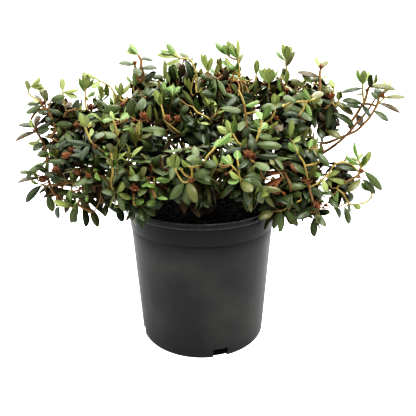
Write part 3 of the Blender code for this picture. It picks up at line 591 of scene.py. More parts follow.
# Growth: what the crown holds, worked out once from the settings.

Leaf = namedtuple("Leaf", "kind root along face length width droop curl")
Tube = namedtuple("Tube", "path radii")
Head = namedtuple("Head", "place axis size")


class Whorl:
    """The end of a twig: its place and direction, the twig, and what it is to bear."""

    def __init__(self, tube, grower, noted=False):
        self.tube = tube
        self.grower = grower
        self.noted = noted
        self.place = tube.path[-1]
        self.axis = (tube.path[-1] - tube.path[-2]).normalized()
        self.shoots = 0
        self.head = False


Crown = namedtuple("Crown", "boughs twigs shoots leaves heads buds")


def between(value, low, high):
    """How far a value is on its way from low to high, from 0 to 1."""
    return min(1.0, max(0.0, (value - low) / (high - low)))


def bezier(points, share):
    a, b, c, d = points
    rest = 1 - share
    return a * rest**3 + b * 3 * share * rest**2 + c * 3 * share**2 * rest + d * share**3


def trunk_point(height):
    """The point on the trunk's middle line at that height."""
    path = [Vector((x, y, MULCH_TOP + rise)) for rise, _, x, y in TRUNK_RINGS]
    for low, high in zip(path, path[1:]):
        if height <= high.z:
            return low.lerp(high, (height - low.z) / (high.z - low.z))
    return path[-1]


def arrival(centre):
    """The direction in which a bough enters the mass round that centre."""
    share = between(centre.z, LOW_MASS_HEIGHT, HIGH_MASS_HEIGHT)
    rise = LOW_MASS_RISE + (HIGH_MASS_RISE - LOW_MASS_RISE) * share
    outward = Vector((centre.x, centre.y, 0)).normalized()
    return outward * math.cos(rise) + UP * math.sin(rise)


class Limb:
    """One bough: its middle line, its radius along it, and the mass at its tip."""

    def __init__(self, row, limbs):
        self.name, centre, self.reach, parent, place = row
        self.centre = Vector(centre)
        self.arrive = arrival(self.centre)
        self.tip = self.centre - self.arrive * self.reach * BOUGH_ENTRY
        if parent == "trunk":
            self.foot_radius = TRUNK_BOUGH_RADIUS
            start = trunk_point(place)
            level = Vector((self.tip.x - start.x, self.tip.y - start.y, 0))
            start = start + level.normalized() * FOOT_OFFSET
            climb = CLIMB_LEAD * (self.tip.z - start.z) / level.length
            leave = (level.normalized() + UP * max(LEAST_CLIMB, climb)).normalized()
        else:
            bearer = limbs[parent]
            self.foot_radius = bearer.radius(place) * SIDE_BOUGH_SHARE
            start = bearer.at(place)
            ahead = (bearer.at(place + 0.05) - start).normalized()
            leave = (ahead * 0.5 + (self.tip - start).normalized()).normalized()
            start = start + leave * bearer.radius(place) * SIDE_FOOT_OFFSET
        span = (self.tip - start).length
        pull = self.tip - self.arrive * span * ARRIVE_PULL
        self.handles = (start, start + leave * span * LEAVE_PULL, pull, self.tip)
        self.heading = (self.tip - self.at(0.8)).normalized()

    def at(self, share):
        return bezier(self.handles, share)

    def radius(self, share):
        return self.foot_radius + (BOUGH_TIP_RADIUS - self.foot_radius) * share

    def tube(self, steps=22):
        shares = [step / steps for step in range(steps + 1)]
        return Tube([self.at(share) for share in shares], [self.radius(share) for share in shares])


class Space:
    """The space that each mass keeps to: its cell of the crown, clear of every limb and of the pot."""

    def __init__(self, limbs):
        self.centres = np.array([limb.centre for limb in limbs.values()])
        self.reaches = np.array([limb.reach for limb in limbs.values()])
        self.names = list(limbs)
        tubes = [limb.tube(40) for limb in limbs.values()]
        self.limb_points = np.array([point for tube in tubes for point in tube.path])
        self.limb_radii = np.array([radius for tube in tubes for radius in tube.radii])

    def in_cell(self, points, name):
        own = self.names.index(name)
        power = ((points[:, None, :] - self.centres[None]) ** 2).sum(2) - self.reaches**2
        apart = np.linalg.norm(self.centres - self.centres[own], axis=1)
        apart[own] = 1.0
        distance = (power - power[:, own : own + 1]) / (2 * apart)
        distance[:, own] = 1.0
        return distance.min() > -CELL_SLACK

    def in_reach(self, points, name):
        own = self.names.index(name)
        furthest = np.linalg.norm(points - self.centres[own], axis=1).max()
        return furthest < self.reaches[own] + REACH_SLACK

    def off_limbs(self, points):
        distance = np.linalg.norm(points[:, None, :] - self.limb_points[None], axis=2)
        return (distance - self.limb_radii).min() > LIMB_MARGIN

    def off_pot(self, points):
        for x, y, z in points:
            radius = math.hypot(x, y)
            if z > POT_BOX[1].z + POT_MARGIN or radius > POT_BOX[1].x + POT_MARGIN:
                continue
            if radius > BAND_TOP_RADIUS - LIP_WIDTH - POT_MARGIN:
                return False
            if z < MULCH_TOP + POT_MARGIN:
                return False
        return True

    def fits(self, points, name):
        points = np.array(points)
        return (
            self.in_reach(points, name)
            and self.in_cell(points, name)
            and self.off_pot(points)
            and self.off_limbs(points)
        )


def whorl_places(limb, chance, count, spread, inset, jitter):
    """Places over a mass: one straight ahead of the bough, the rest spread evenly round it."""
    turn = Matrix.Rotation(chance.uniform(0, math.tau), 3, "Z")
    pole = limb.arrive.to_track_quat("Z", "Y").to_matrix() @ turn
    for number in range(count):
        height = 1 - spread * number / (count - 1)
        radius = math.sqrt(1 - height * height)
        angle = number * GOLDEN_ANGLE
        direction = pole @ Vector((radius * math.cos(angle), radius * math.sin(angle), height))
        direction.z *= CROWN_SQUASH
        yield limb.centre + direction * (limb.reach - inset) * chance.uniform(*jitter)


def camera_turn(pitch, yaw, roll):
    """The camera's rotation, whose own axes point right, up and back."""
    level = math.cos(pitch)
    ahead = Vector((math.sin(yaw) * level, math.cos(yaw) * level, -math.sin(pitch)))
    return ahead.to_track_quat("-Z", "Y").to_matrix().to_4x4() @ Matrix.Rotation(-roll, 4, "Z")


CAMERA_TURN = camera_turn(CAMERA_PITCH, CAMERA_YAW, CAMERA_ROLL).to_3x3()


def beyond(across, down):
    """The point of the upright plane through the pot's axis that is seen at a pixel."""
    middle = PHOTO_PIXELS / 2
    ray = CAMERA_TURN @ Vector((across - middle, middle - down, -LENS / SENSOR_WIDTH * PHOTO_PIXELS))
    return SIGHT - ray * (SIGHT.y / ray.y)


def on_plane(across, down):
    """That point's x and z, to a millimetre."""
    spot = beyond(across, down)
    return round(spot.x, 3), round(spot.z, 3)


def disc_on_plane(across, down, radius):
    """A disc of pixels on that plane: x, z and radius."""
    spread = beyond(across + radius, down).x - beyond(across, down).x
    return *on_plane(across, down), round(spread, 3)


def seen_at(point):
    """Where a point is seen from SIGHT against the upright plane through the pot's axis: x and z."""
    share = -SIGHT.y / (point[1] - SIGHT.y)
    return point[0] * share, SIGHT.z + (point[2] - SIGHT.z) * share


def placed_at(spot, depth):
    """The point at that depth that is seen at that x and z."""
    share = (depth - SIGHT.y) / -SIGHT.y
    return Vector((spot[0] * share, depth, SIGHT.z + (spot[1] - SIGHT.z) * share))


def spray_on_plane(spray):
    """A noted spray with its places in metres on that plane."""
    stems = [(kind, [on_plane(*spot) for spot in spots]) for kind, spots in spray.stems]
    leaves = [
        (tint, on_plane(*row[:2]), on_plane(*row[2:4]), row[4])
        for tint, rows in spray.leaves.items()
        for row in rows
    ]
    heads = [(on_plane(*row[:2]), row[2]) for row in spray.heads]
    return spray._replace(stems=stems, leaves=leaves, heads=heads)


SPRAYS = [spray_on_plane(spray) for spray in NOTED_SPRAYS]


def view_spots():
    """Discs that the growing keeps out of, as x, z, radius and depth: it may pass behind that depth."""
    spots = [(*disc_on_plane(*disc), math.inf) for disc in OPEN_SKY]
    for spray in SPRAYS:
        depth = spray.depth + SPRAY_CLEARANCE
        for _, foot, tip, breadth in spray.leaves:
            for share in LEAF_SPOTS:
                middle = [start + (end - start) * share for start, end in zip(foot, tip)]
                spots.append((*middle, LEAF_SPOT_RADIUS * (1 + breadth), depth))
        spots += [(*spot, STEM_SPOT_RADIUS, depth) for _, stem in spray.stems for spot in stem]
        spots += [(*spot, HEAD_SPOT_RADIUS * size, depth) for spot, size in spray.heads]
    return np.array(spots)


VIEW_SPOTS = view_spots()


def off_sky(points):
    """Whether no point is seen against open sky or hides a noted spray."""
    points = np.array(points)
    share = -SIGHT.y / (points[:, 1:2] - SIGHT.y)
    across = points[:, 0:1] * share - VIEW_SPOTS[:, 0]
    above = SIGHT.z + (points[:, 2:3] - SIGHT.z) * share - VIEW_SPOTS[:, 1]
    within = np.hypot(across, above) < VIEW_SPOTS[:, 2]
    return not (within & (points[:, 1:2] < VIEW_SPOTS[:, 3])).any()


def square_to(axis):
    """Two directions square to an axis and to each other."""
    across = axis.orthogonal().normalized()
    return across, axis.cross(across)


def bent_tube(start, leave, end, arrive, foot_radius, tip_radius, steps):
    """A tapering tube from start to end that leaves and arrives in the given directions."""
    span = (end - start).length
    handles = (start, start + leave * span * 0.35, end - arrive * span * 0.35, end)
    shares = [step / steps for step in range(steps + 1)]
    radii = [foot_radius + (tip_radius - foot_radius) * share for share in shares]
    return Tube([bezier(handles, share) for share in shares], radii)


class Grower:
    """Grows one mass: its twigs, shoots, leaves, seed heads and buds."""

    def __init__(self, limb, space, looks, whorls):
        self.limb = limb
        self.space = space
        self.looks = looks
        self.whorls = whorls
        self.chance = random.Random("rhododendron " + limb.name)
        self.fine = random.Random("fine " + limb.name)
        self.twigs, self.shoots, self.leaves, self.heads, self.buds = [], [], [], [], []

    def main_twigs(self):
        """The twigs of the solid: each as a straight fork from the one that carries the bough on."""
        limb = self.limb
        count = round(TWIGS_PER_MASS * (limb.reach / MEAN_REACH) ** 2)
        ends = list(whorl_places(limb, self.chance, count, TWIG_SPREAD, WHORL_INSET, TWIG_JITTER))
        foot = limb.tip
        bend = foot + limb.heading * (ends[0] - foot).length * 0.5
        leader = bent_tube(foot, limb.heading, ends[0], (ends[0] - bend).normalized(),
                           LEADER_RADIUS, FINE_RADIUS, LEADER_STEPS)
        yield leader
        for number, end in enumerate(ends[1:], 1):
            share = FIRST_FORK + (LAST_FORK - FIRST_FORK) * (1 - number / (len(ends) - 1))
            step = round(share * LEADER_STEPS)
            fork = leader.path[step]
            ahead = (leader.path[step + 1] - fork).normalized()
            aim, outward = (end - fork).normalized(), (end - limb.centre).normalized()
            arrive = (aim + outward * 0.5 + UP * LIGHT_PULL).normalized()
            yield bent_tube(fork, (ahead + aim).normalized(), end, arrive, TWIG_RADIUS, FINE_RADIUS, 7)

    def fine_twigs(self, mains):
        """Finer twigs to places between the main ones, each from the nearest main twig that leads its way."""
        limb = self.limb
        count = round(self.looks.fine_twigs * (limb.reach / MEAN_REACH) ** 2)
        for end in whorl_places(limb, self.fine, count, FINE_SPREAD, FINE_INSET, FINE_JITTER):
            end.z -= SHOOT_ROOM * between(end.z, *HIGH_WHORLS)
            best = None
            for tube in mains:
                for point, ahead in zip(tube.path[1:-1], tube.path[2:]):
                    span = (end - point).length
                    turn = (ahead - point).normalized().angle((end - point).normalized(), 0)
                    cost = span * (1 + turn)
                    if span > LEAST_FINE_SPAN and (best is None or cost < best[0]):
                        best = cost, point, (ahead - point).normalized()
            if best is None:
                continue
            _, fork, ahead = best
            aim = (end - fork).normalized()
            arrive = (aim * 0.8 + (end - limb.centre).normalized() * 0.5 + UP * LIGHT_PULL).normalized()
            yield bent_tube(fork, (ahead + aim).normalized(), end, arrive, FINE_RADIUS, FINE_TIP_RADIUS, 6)

    def has_room(self, place):
        return all((place - whorl.place).length > WHORL_SPACING for whorl in self.whorls)

    def grow_twigs(self):
        leader, *others = self.main_twigs()
        mains = [leader] + [tube for tube in others if off_sky(tube.path[-2:])]
        self.twigs += mains
        self.whorls += [Whorl(tube, self) for tube in mains]
        for tube in self.fine_twigs(mains):
            if self.has_room(tube.path[-1]) and self.space.off_pot(tube.path[2:]) and off_sky(tube.path[-2:]):
                self.twigs.append(tube)
                self.whorls.append(Whorl(tube, self))

    def add_leaf(self, kind, root, axis, around, lean, length, width, droop, curl, sag, noted=False):
        """A leaf that leans out from an axis. It is tried closer to it, and left out where it has no room."""
        for share in LEAN_SHARES:
            angle = lean * share
            along = (axis * math.cos(angle) + around * math.sin(angle) - UP * sag * share).normalized()
            face = axis * math.sin(angle) - around * math.cos(angle) + UP * 0.3
            face = (face - along * face.dot(along)).normalized()
            side = face.cross(along)
            tip = root + along * length - face * length * droop * 0.5
            middle = root + along * length * 0.55 - face * length * droop * 0.15
            samples = [tip, middle + side * width * 0.5, middle - side * width * 0.5, middle]
            if noted or (self.space.fits(samples, self.limb.name) and off_sky(samples)):
                self.leaves.append(Leaf(kind, root, along, face, length, width, droop, curl))
                return

    def old_whorl(self, place, axis, kind, count, share=1.0, noted=False):
        """A whorl of last year's leaves round a twig, which hang as they age."""
        looks, fine = self.looks, self.fine
        across, beside = square_to(axis)
        start = fine.uniform(0, math.tau)
        hang = fine.uniform(*OLD_HANG)
        for number in range(count):
            angle = start + number * math.tau / count + fine.uniform(-0.3, 0.3)
            around = across * math.cos(angle) + beside * math.sin(angle)
            lean = math.radians(fine.uniform(*OLD_LEAN))
            length = looks.old_leaf_length * fine.uniform(*OLD_LENGTHS) * share
            width = looks.old_leaf_width * fine.uniform(*OLD_WIDTHS) * share
            root = place - axis * fine.uniform(0.0, 0.007)
            droop, curl = fine.uniform(*OLD_DROOP), fine.uniform(*OLD_CURL)
            sag = hang * fine.uniform(0.4, 1.6)
            self.add_leaf(kind, root, axis, around, lean, length, width, droop, curl, sag, noted)

    def young_tuft(self, place, axis, kind, count, share=1.0):
        """The upright tuft of this year's leaves at the end of a shoot."""
        looks, fine = self.looks, self.fine
        across, beside = square_to(axis)
        start = fine.uniform(0, math.tau)
        for number in range(count):
            angle = start + number * GOLDEN_ANGLE
            around = across * math.cos(angle) + beside * math.sin(angle)
            lean = math.radians(fine.uniform(*YOUNG_LEAN) + YOUNG_OPENING * number)
            length = looks.young_leaf_length * fine.uniform(*YOUNG_LENGTHS) * share
            width = looks.young_leaf_width * fine.uniform(*YOUNG_WIDTHS) * share
            root = place - axis * YOUNG_SPACING * number
            droop, curl = fine.uniform(*YOUNG_DROOP), fine.uniform(*YOUNG_CURL)
            self.add_leaf(kind, root, axis, around, lean, length, width, droop, curl, 0.0)

    def add_shoot(self, place, leave, end, arrive, kind, count):
        """A thin shoot with a tuft at its end, and on a long one a leaf or two further down."""
        tube = bent_tube(place, leave, end, arrive, SHOOT_RADIUS * 1.25, SHOOT_RADIUS * 0.85, 7)
        self.shoots.append(tube)
        self.young_tuft(end, arrive, kind, count)
        for step in SIDE_LEAF_STEPS:
            if (end - place).length > LONG_SHOOT and self.fine.random() < SIDE_LEAF_ODDS:
                ahead = (tube.path[step + 1] - tube.path[step]).normalized()
                self.young_tuft(tube.path[step], ahead, kind, 1, 0.8)

    def shoot(self, whorl, kind):
        """A shoot that rises from a whorl at random."""
        fine = self.fine
        across, beside = square_to(whorl.axis)
        angle = fine.uniform(0, math.tau)
        leave = (whorl.axis + (across * math.cos(angle) + beside * math.sin(angle)) * 0.55).normalized()
        arrive = (leave + UP * fine.uniform(0.6, 1.5)).normalized()
        height = between(whorl.place.z, *LIT_HEIGHTS)
        end = whorl.place + (leave + arrive).normalized() * fine.uniform(0.008, 0.030 + 0.014 * height)
        top = end + arrive * self.looks.young_leaf_length * 0.6
        in_reach = self.space.in_reach(np.array([top]), self.limb.name)
        if in_reach and self.space.off_pot([end]) and off_sky([top, end]):
            self.add_shoot(whorl.place, leave, end, arrive, kind, fine.randint(*TUFT_LEAVES))
            whorl.shoots += 1

    def dress(self, whorl):
        """Leaves, shoots, a seed head or a bud at the end of a twig, and older leaves further down it."""
        looks, fine = self.looks, self.fine
        place, axis, path = whorl.place, whorl.axis, whorl.tube.path
        if not off_sky([place]):
            return
        kind = fine.choices(OLD_TINTS, OLD_ODDS)[0]
        count = fine.randint(looks.whorl_leaves - 1, looks.whorl_leaves + 1) - 2 * whorl.noted
        self.old_whorl(place, axis, kind, count, noted=whorl.noted)
        for share, likely in OLDER_WHORLS:
            if fine.random() < likely:
                step = max(1, round(len(path) * share))
                ahead = (path[step] - path[step - 1]).normalized()
                self.old_whorl(path[step], ahead, fine.choice(OLDER_TINTS), fine.randint(2, 4), OLDER_SHARE)
        height = between(place.z, *LIT_HEIGHTS)
        if fine.random() < looks.shoot_share * (0.15 + 1.7 * height**2):
            for _ in range(fine.choice((1, 1, 2, 3))):
                self.shoot(whorl, fine.choices(YOUNG_TINTS, YOUNG_ODDS)[0])
        if whorl.head or fine.random() < looks.seed_head_share:
            self.heads.append(Head(place, (axis + UP * 0.4).normalized(), fine.uniform(0.85, 1.2)))
        elif not whorl.shoots:
            if fine.random() < 0.2:
                kind, count = fine.choice(("light", "green")), fine.randint(2, 3)
                self.young_tuft(place + axis * 0.002, axis, kind, count, 0.7)
            self.buds.append(Head(place, axis, fine.uniform(0.8, 1.2)))


def through(points):
    """A smooth path through those points."""
    path = []
    ends = [points[0], *points, points[-1]]
    for before, start, end, after in zip(ends, ends[1:], ends[2:], ends[3:]):
        for share in (0.0, 1 / 3, 2 / 3):
            handles = (start, start + (end - before) / 6, end - (after - start) / 6, end)
            path.append(bezier(handles, share))
    return path + [points[-1]]


def tapered(path, foot_radius, tip_radius):
    last = len(path) - 1
    return Tube(path, [foot_radius + (tip_radius - foot_radius) * step / last for step in range(last + 1)])


def points_of(tubes):
    return np.array([tuple(point) for tube in tubes for point in tube.path])


def nearest_point(place, points):
    return Vector(points[((points - np.array(place)) ** 2).sum(axis=1).argmin()])


def settled(spot, depth, points, near):
    """Where a noted thing is put, and the point it joins: at its depth, or behind it if no stem is near."""
    choices = []
    for step in range(DEPTH_STEPS):
        place = placed_at(spot, depth + step * DEPTH_STEP)
        joint = nearest_point(place, points)
        choices.append(((place - joint).length, place, joint))
        if choices[-1][0] < near:
            break
    return min(choices, key=lambda choice: choice[0])[1:]


def spray_leaf(grower, leaf, depth, points):
    """A noted leaf. One that is seen shorter than it is points towards the camera or away from it."""
    looks, fine = grower.looks, grower.fine
    kind, foot, tip, breadth = leaf
    young = kind in YOUNG_TINTS
    least = (looks.young_leaf_length if young else looks.old_leaf_length) * fine.uniform(*NOTED_LENGTHS)
    width = (looks.young_leaf_width if young else looks.old_leaf_width) * fine.uniform(*NOTED_WIDTHS)
    root, joint = settled(foot, depth, points, LEAF_GAP)
    if (joint - root).length < FOOT_GAP:
        root = joint
    else:
        middle = joint.lerp(root, 0.5) - UP * (joint - root).length * 0.1
        grower.twigs.append(tapered(through([joint, middle, root]), FINE_RADIUS, FINE_TIP_RADIUS))
    seen = (placed_at(tip, root.y) - root).length
    aside = math.sqrt(max(0.0, least**2 - seen**2)) * fine.choice((-ASIDE_SHARE, ASIDE_SHARE))
    chord = placed_at(tip, root.y + aside) - root
    ahead = chord.normalized()
    toward = (SIGHT - root).normalized()
    toward = (toward - ahead * toward.dot(ahead)).normalized()
    across = ahead.cross(toward)
    if across.z < 0:
        across = -across
    broad = LEAST_BREADTH + (1 - LEAST_BREADTH) * breadth
    face = toward * broad + across * math.sqrt(1 - broad**2)
    droop = fine.uniform(*(NOTED_YOUNG_DROOP if young else NOTED_OLD_DROOP))
    curl = fine.uniform(*NOTED_CURL)
    if kind == "dead":
        width, curl = width * DEAD_WIDTH, 1.0
    flat, fall = 1 - droop**2 / 6, droop / 2
    turn = math.atan2(fall, flat)
    along = ahead * math.cos(turn) + face * math.sin(turn)
    face = face * math.cos(turn) - ahead * math.sin(turn)
    length = chord.length / math.hypot(flat, fall)
    grower.leaves.append(Leaf(kind, root, along, face, length, width, droop, curl))


def grow_spray(spray, growers, tubes):
    """A spray as it is noted, joined to the nearest limb or twig of the mass that is seen nearest to it."""
    feet = [foot for _, foot, _, _ in spray.leaves]
    middle = placed_at([sum(axis) / len(feet) for axis in zip(*feet)], spray.depth)
    grower = min(growers, key=lambda one: (one.limb.centre - middle).length)
    known = points_of(tubes)
    for kind, spots in spray.stems:
        foot, joint = settled(spots[0], spray.depth, known, STEM_GAP)
        path = [placed_at(spot, foot.y) for spot in spots]
        if (joint - foot).length > 0.001:
            path.insert(0, joint)
        radius, narrowing = NOTED_STEMS[kind]
        tube = tapered(through(path), radius, radius * narrowing)
        (grower.twigs if kind == "twig" else grower.shoots).append(tube)
        known = np.concatenate((known, points_of([tube])))
    for leaf in spray.leaves:
        spray_leaf(grower, leaf, spray.depth, known)
    for spot, size in spray.heads:
        place, joint = settled(spot, spray.depth, known, LEAF_GAP)
        if (joint - place).length > FOOT_GAP:
            grower.twigs.append(tapered([joint, joint.lerp(place, 0.5), place], FINE_RADIUS, FINE_TIP_RADIUS))
        axis = ((place - joint).normalized() * 0.5 + UP).normalized()
        grower.heads.append(Head(place - axis * 0.006 * size, axis, size))


def nearest_whorl(whorls, spot):
    """The whorl that is seen nearest to a spot, those in front first."""
    def cost(whorl):
        x, z = seen_at(whorl.place)
        return math.hypot(x - spot[0], z - spot[1]) + FRONT_PULL * whorl.place.y

    return min(whorls, key=cost)


def grow_noted(whorls):
    """Twigs to where the photograph shows whorls, and its seed heads."""
    for pixel in NOTED_WHORLS:
        spot = on_plane(*pixel)
        near = nearest_whorl(whorls, spot)
        end = placed_at(spot, near.place.y)
        fork = min(near.tube.path[1:-1], key=lambda point: (point - end).length)
        aim = (end - fork).normalized()
        arrive = (aim + UP * 0.5).normalized()
        leave = (aim + near.axis * 0.5).normalized()
        tube = bent_tube(fork, leave, end, arrive, FINE_RADIUS, FINE_TIP_RADIUS, 7)
        near.grower.twigs.append(tube)
        whorls.append(Whorl(tube, near.grower, True))
    for pixel in NOTED_SEED_HEADS:
        nearest_whorl(whorls, on_plane(*pixel)).head = True


Looks = namedtuple(
    "Looks",
    "old_leaf_length old_leaf_width young_leaf_length young_leaf_width"
    " whorl_leaves fine_twigs shoot_share seed_head_share",
)


@functools.lru_cache(maxsize=1)
def grow_crown(looks):
    """Everything that the trunk carries."""
    limbs = {}
    for row in MASSES:
        limbs[row[0]] = Limb(row, limbs)
    space = Space(limbs)
    whorls = []
    growers = [Grower(limb, space, looks, whorls) for limb in limbs.values()]
    for grower in growers:
        grower.grow_twigs()
    grow_noted(whorls)
    for whorl in whorls:
        whorl.grower.dress(whorl)
    tubes = [limb.tube() for limb in limbs.values()] + [whorl.tube for whorl in whorls]
    for spray in SPRAYS:
        grow_spray(spray, growers, tubes)
    gathered = {
        part: [item for grower in growers for item in getattr(grower, part)]
        for part in ("twigs", "shoots", "leaves", "heads", "buds")
    }
    return Crown(boughs=[limb.tube() for limb in limbs.values()], **gathered)


def crown():
    settings = bpy.context.scene.rhododendron_plant
    return grow_crown(Looks(*(getattr(settings, field) for field in Looks._fields)))


# Small helpers for meshes and node trees.

def link(obj):
    bpy.context.scene.collection.objects.link(obj)
    return obj


def mesh_object(name, points, faces):
    mesh = bpy.data.meshes.new(name)
    mesh.from_pydata([tuple(p) for p in points], [], faces)
    return link(bpy.data.objects.new(name, mesh))


def bmesh_object(name, bm):
    mesh = bpy.data.meshes.new(name)
    bm.to_mesh(mesh)
    bm.free()
    return link(bpy.data.objects.new(name, mesh))


def keep(obj, nodes=()):
    """Hands a finished piece to the frame: it rides on the plant's one body and stands for those solids."""
    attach(obj, BODY)
    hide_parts(*nodes)


def add_attribute(mesh, name, kind, values):
    field = {"FLOAT": "value", "FLOAT_VECTOR": "vector", "INT": "value"}[kind]
    flat = np.array(values, dtype=np.int32 if kind == "INT" else np.float32).ravel()
    mesh.attributes.new(name, kind, "POINT").data.foreach_set(field, flat)


class Tree:
    """A node tree as it is built: add() makes a node, sets its properties and fills or links its inputs."""

    def __init__(self, tree):
        self.tree = tree

    def feed(self, target, value):
        """Links a socket to an input, or fills the input with a plain value."""
        if isinstance(value, bpy.types.NodeSocket):
            self.tree.links.new(value, target)
        else:
            target.default_value = value

    def add(self, kind, inputs=None, **properties):
        node = self.tree.nodes.new(kind)
        for name, value in properties.items():
            setattr(node, name, value)
        for key, value in (inputs or {}).items():
            self.feed(node.inputs[key], value)
        return node

    def change(self, kind, geometry, **inputs):
        """What a geometry node makes of the geometry that goes in first."""
        named = {key.replace("_", " "): value for key, value in inputs.items()}
        return self.add("GeometryNode" + kind, {0: geometry, **named}).outputs[0]

    def store(self, geometry, name, value, kind="FLOAT"):
        """The geometry with a value stored at its points."""
        inputs = {0: geometry, "Name": name, "Value": value}
        return self.add("GeometryNodeStoreNamedAttribute", inputs, data_type=kind, domain="POINT").outputs[0]

    def instances(self, points, thing, **inputs):
        """The thing on each point, as real geometry."""
        inputs = {"Points": points, "Instance": thing, **inputs}
        laid = self.add("GeometryNodeInstanceOnPoints", inputs)
        return self.change("RealizeInstances", laid.outputs[0])

    def place(self):
        return self.add("ShaderNodeTexCoord").outputs["Object"]

    def noise(self, place, scale, detail):
        inputs = {"Vector": place, "Scale": scale, "Detail": detail}
        return self.add("ShaderNodeTexNoise", inputs).outputs["Fac"]

    def ranged(self, value, low, high, to_low=0.0, to_high=1.0):
        """A value between low and high, carried over to between the other two."""
        limits = {"From Min": low, "From Max": high, "To Min": to_low, "To Max": to_high}
        return self.add("ShaderNodeMapRange", {"Value": value, **limits}).outputs["Result"]

    def math(self, operation, *values):
        return self.add("ShaderNodeMath", dict(enumerate(values)), operation=operation).outputs[0]

    def times(self, product, *factors):
        for factor in factors:
            product = self.math("MULTIPLY", product, factor)
        return product

    def vector_math(self, operation, *values):
        return self.add("ShaderNodeVectorMath", dict(enumerate(values)), operation=operation).outputs[0]

    def scaled(self, vector, factor):
        return self.add("ShaderNodeVectorMath", {0: vector, "Scale": factor}, operation="SCALE").outputs[0]

    def attribute(self, name, kind="FLOAT"):
        node = self.add("GeometryNodeInputNamedAttribute", data_type=kind)
        node.inputs["Name"].default_value = name
        return node.outputs["Attribute"]


def geometry_tree(name, sockets):
    """A geometry tree with a geometry input and output, and further named inputs."""
    tree = bpy.data.node_groups.new(name, "GeometryNodeTree")
    tree.interface.new_socket("Geometry", in_out="INPUT", socket_type="NodeSocketGeometry")
    for socket_name, kind, default in sockets:
        socket = tree.interface.new_socket(socket_name, in_out="INPUT", socket_type="NodeSocket" + kind)
        if default is not None:
            socket.default_value = default
    tree.interface.new_socket("Geometry", in_out="OUTPUT", socket_type="NodeSocketGeometry")
    build = Tree(tree)
    entry = build.add("NodeGroupInput")
    leave = build.add("NodeGroupOutput")
    return build, entry.outputs, leave.inputs


def apply_modifier(obj, modifier):
    """Gives the object the plain mesh that its modifier makes."""
    graph = bpy.context.evaluated_depsgraph_get()
    result = bpy.data.meshes.new_from_object(obj.evaluated_get(graph), depsgraph=graph)
    obj.modifiers.remove(modifier)
    obj.data = result
    return result


def grown(name, mesh, build, values):
    """The plain mesh that a geometry tree makes from a starting mesh, as an object with no modifier."""
    obj = link(bpy.data.objects.new(name, mesh))
    modifier = obj.modifiers.new(build.tree.name, "NODES")
    modifier.node_group = build.tree
    for item in build.tree.interface.items_tree:
        if item.in_out == "INPUT" and item.name in values:
            modifier[item.identifier] = values[item.name]
    result = apply_modifier(obj, modifier)
    result.name = name
    bpy.data.meshes.remove(mesh)
    for attribute in [a.name for a in result.attributes if not a.is_internal and not a.is_required]:
        if attribute not in ("sharp_edge", "sharp_face", "material_index", "bark_place"):
            result.attributes.remove(result.attributes[attribute])
    return obj


# Shader node groups, each an effect that a material uses.

def shader_group(name, inputs, outputs):
    tree = bpy.data.node_groups.new(name, "ShaderNodeTree")
    for socket_name, kind, default in inputs:
        socket = tree.interface.new_socket(socket_name, in_out="INPUT", socket_type="NodeSocket" + kind)
        socket.default_value = default
    for socket_name, kind in outputs:
        tree.interface.new_socket(socket_name, in_out="OUTPUT", socket_type="NodeSocket" + kind)
    build = Tree(tree)
    return build, build.add("NodeGroupInput").outputs, build.add("NodeGroupOutput").inputs


@functools.cache
def mottle_group():
    """Fine uneven colour: a colour made lighter and darker by noise, and the noise itself."""
    build, given, out = shader_group(
        "Mottle",
        (("Colour", "Color", (0.5, 0.5, 0.5, 1)), ("Scale", "Float", 100.0), ("Amount", "Float", 0.3)),
        (("Colour", "Color"), ("Noise", "Float")),
    )
    texture = build.noise(build.place(), given["Scale"], 3.0)
    centred = build.math("SUBTRACT", texture, 0.5)
    gain = build.math("MULTIPLY_ADD", centred, build.times(given["Amount"], 2.0), 1.0)
    build.feed(out["Colour"], build.scaled(given["Colour"], gain))
    build.feed(out["Noise"], texture)
    return build.tree


@functools.cache
def dust_group():
    """Where dust lies: in soft patches, more on surfaces that face up."""
    build, given, out = shader_group(
        "Dust",
        (("Scale", "Float", 20.0), ("Cover", "Float", 0.2), ("Upward", "Float", 0.5)),
        (("Mask", "Float"),),
    )
    place = build.place()
    patches = build.ranged(build.noise(place, given["Scale"], 4.0), 0.48, 0.75)
    grainy = build.times(patches, build.math("ADD", build.noise(place, 900.0, 2.0), 0.25))
    normal = build.add("ShaderNodeNewGeometry").outputs["Normal"]
    lifted = build.math("MAXIMUM", build.add("ShaderNodeSeparateXYZ", {0: normal}).outputs["Z"], 0.0)
    total = build.math("MULTIPLY_ADD", lifted, given["Upward"], grainy)
    build.feed(out["Mask"], build.times(total, given["Cover"]))
    return build.tree


@functools.cache
def wear_group():
    """Paler worn edges, broken up by noise."""
    build, given, out = shader_group(
        "Edge wear",
        (("Amount", "Float", 0.5), ("Scale", "Float", 120.0)),
        (("Mask", "Float"),),
    )
    edge = build.ranged(build.add("ShaderNodeNewGeometry").outputs["Pointiness"], 0.52, 0.60)
    broken = build.times(edge, build.noise(build.place(), given["Scale"], 3.0))
    build.feed(out["Mask"], build.times(broken, given["Amount"]))
    return build.tree


@functools.cache
def fibre_group():
    """Long fibres: noise drawn out along one direction of a place given in metres."""
    build, given, out = shader_group(
        "Fibres",
        (("Place", "Vector", (0, 0, 0)), ("Scale", "Float", 300.0), ("Stretch", "Float", 0.1)),
        (("Height", "Float"),),
    )
    squeeze = build.add("ShaderNodeCombineXYZ", {"X": 1.0, "Y": 1.0, "Z": given["Stretch"]}).outputs[0]
    drawn = build.vector_math("MULTIPLY", given["Place"], squeeze)
    build.feed(out["Height"], build.noise(drawn, given["Scale"], 5.0))
    return build.tree


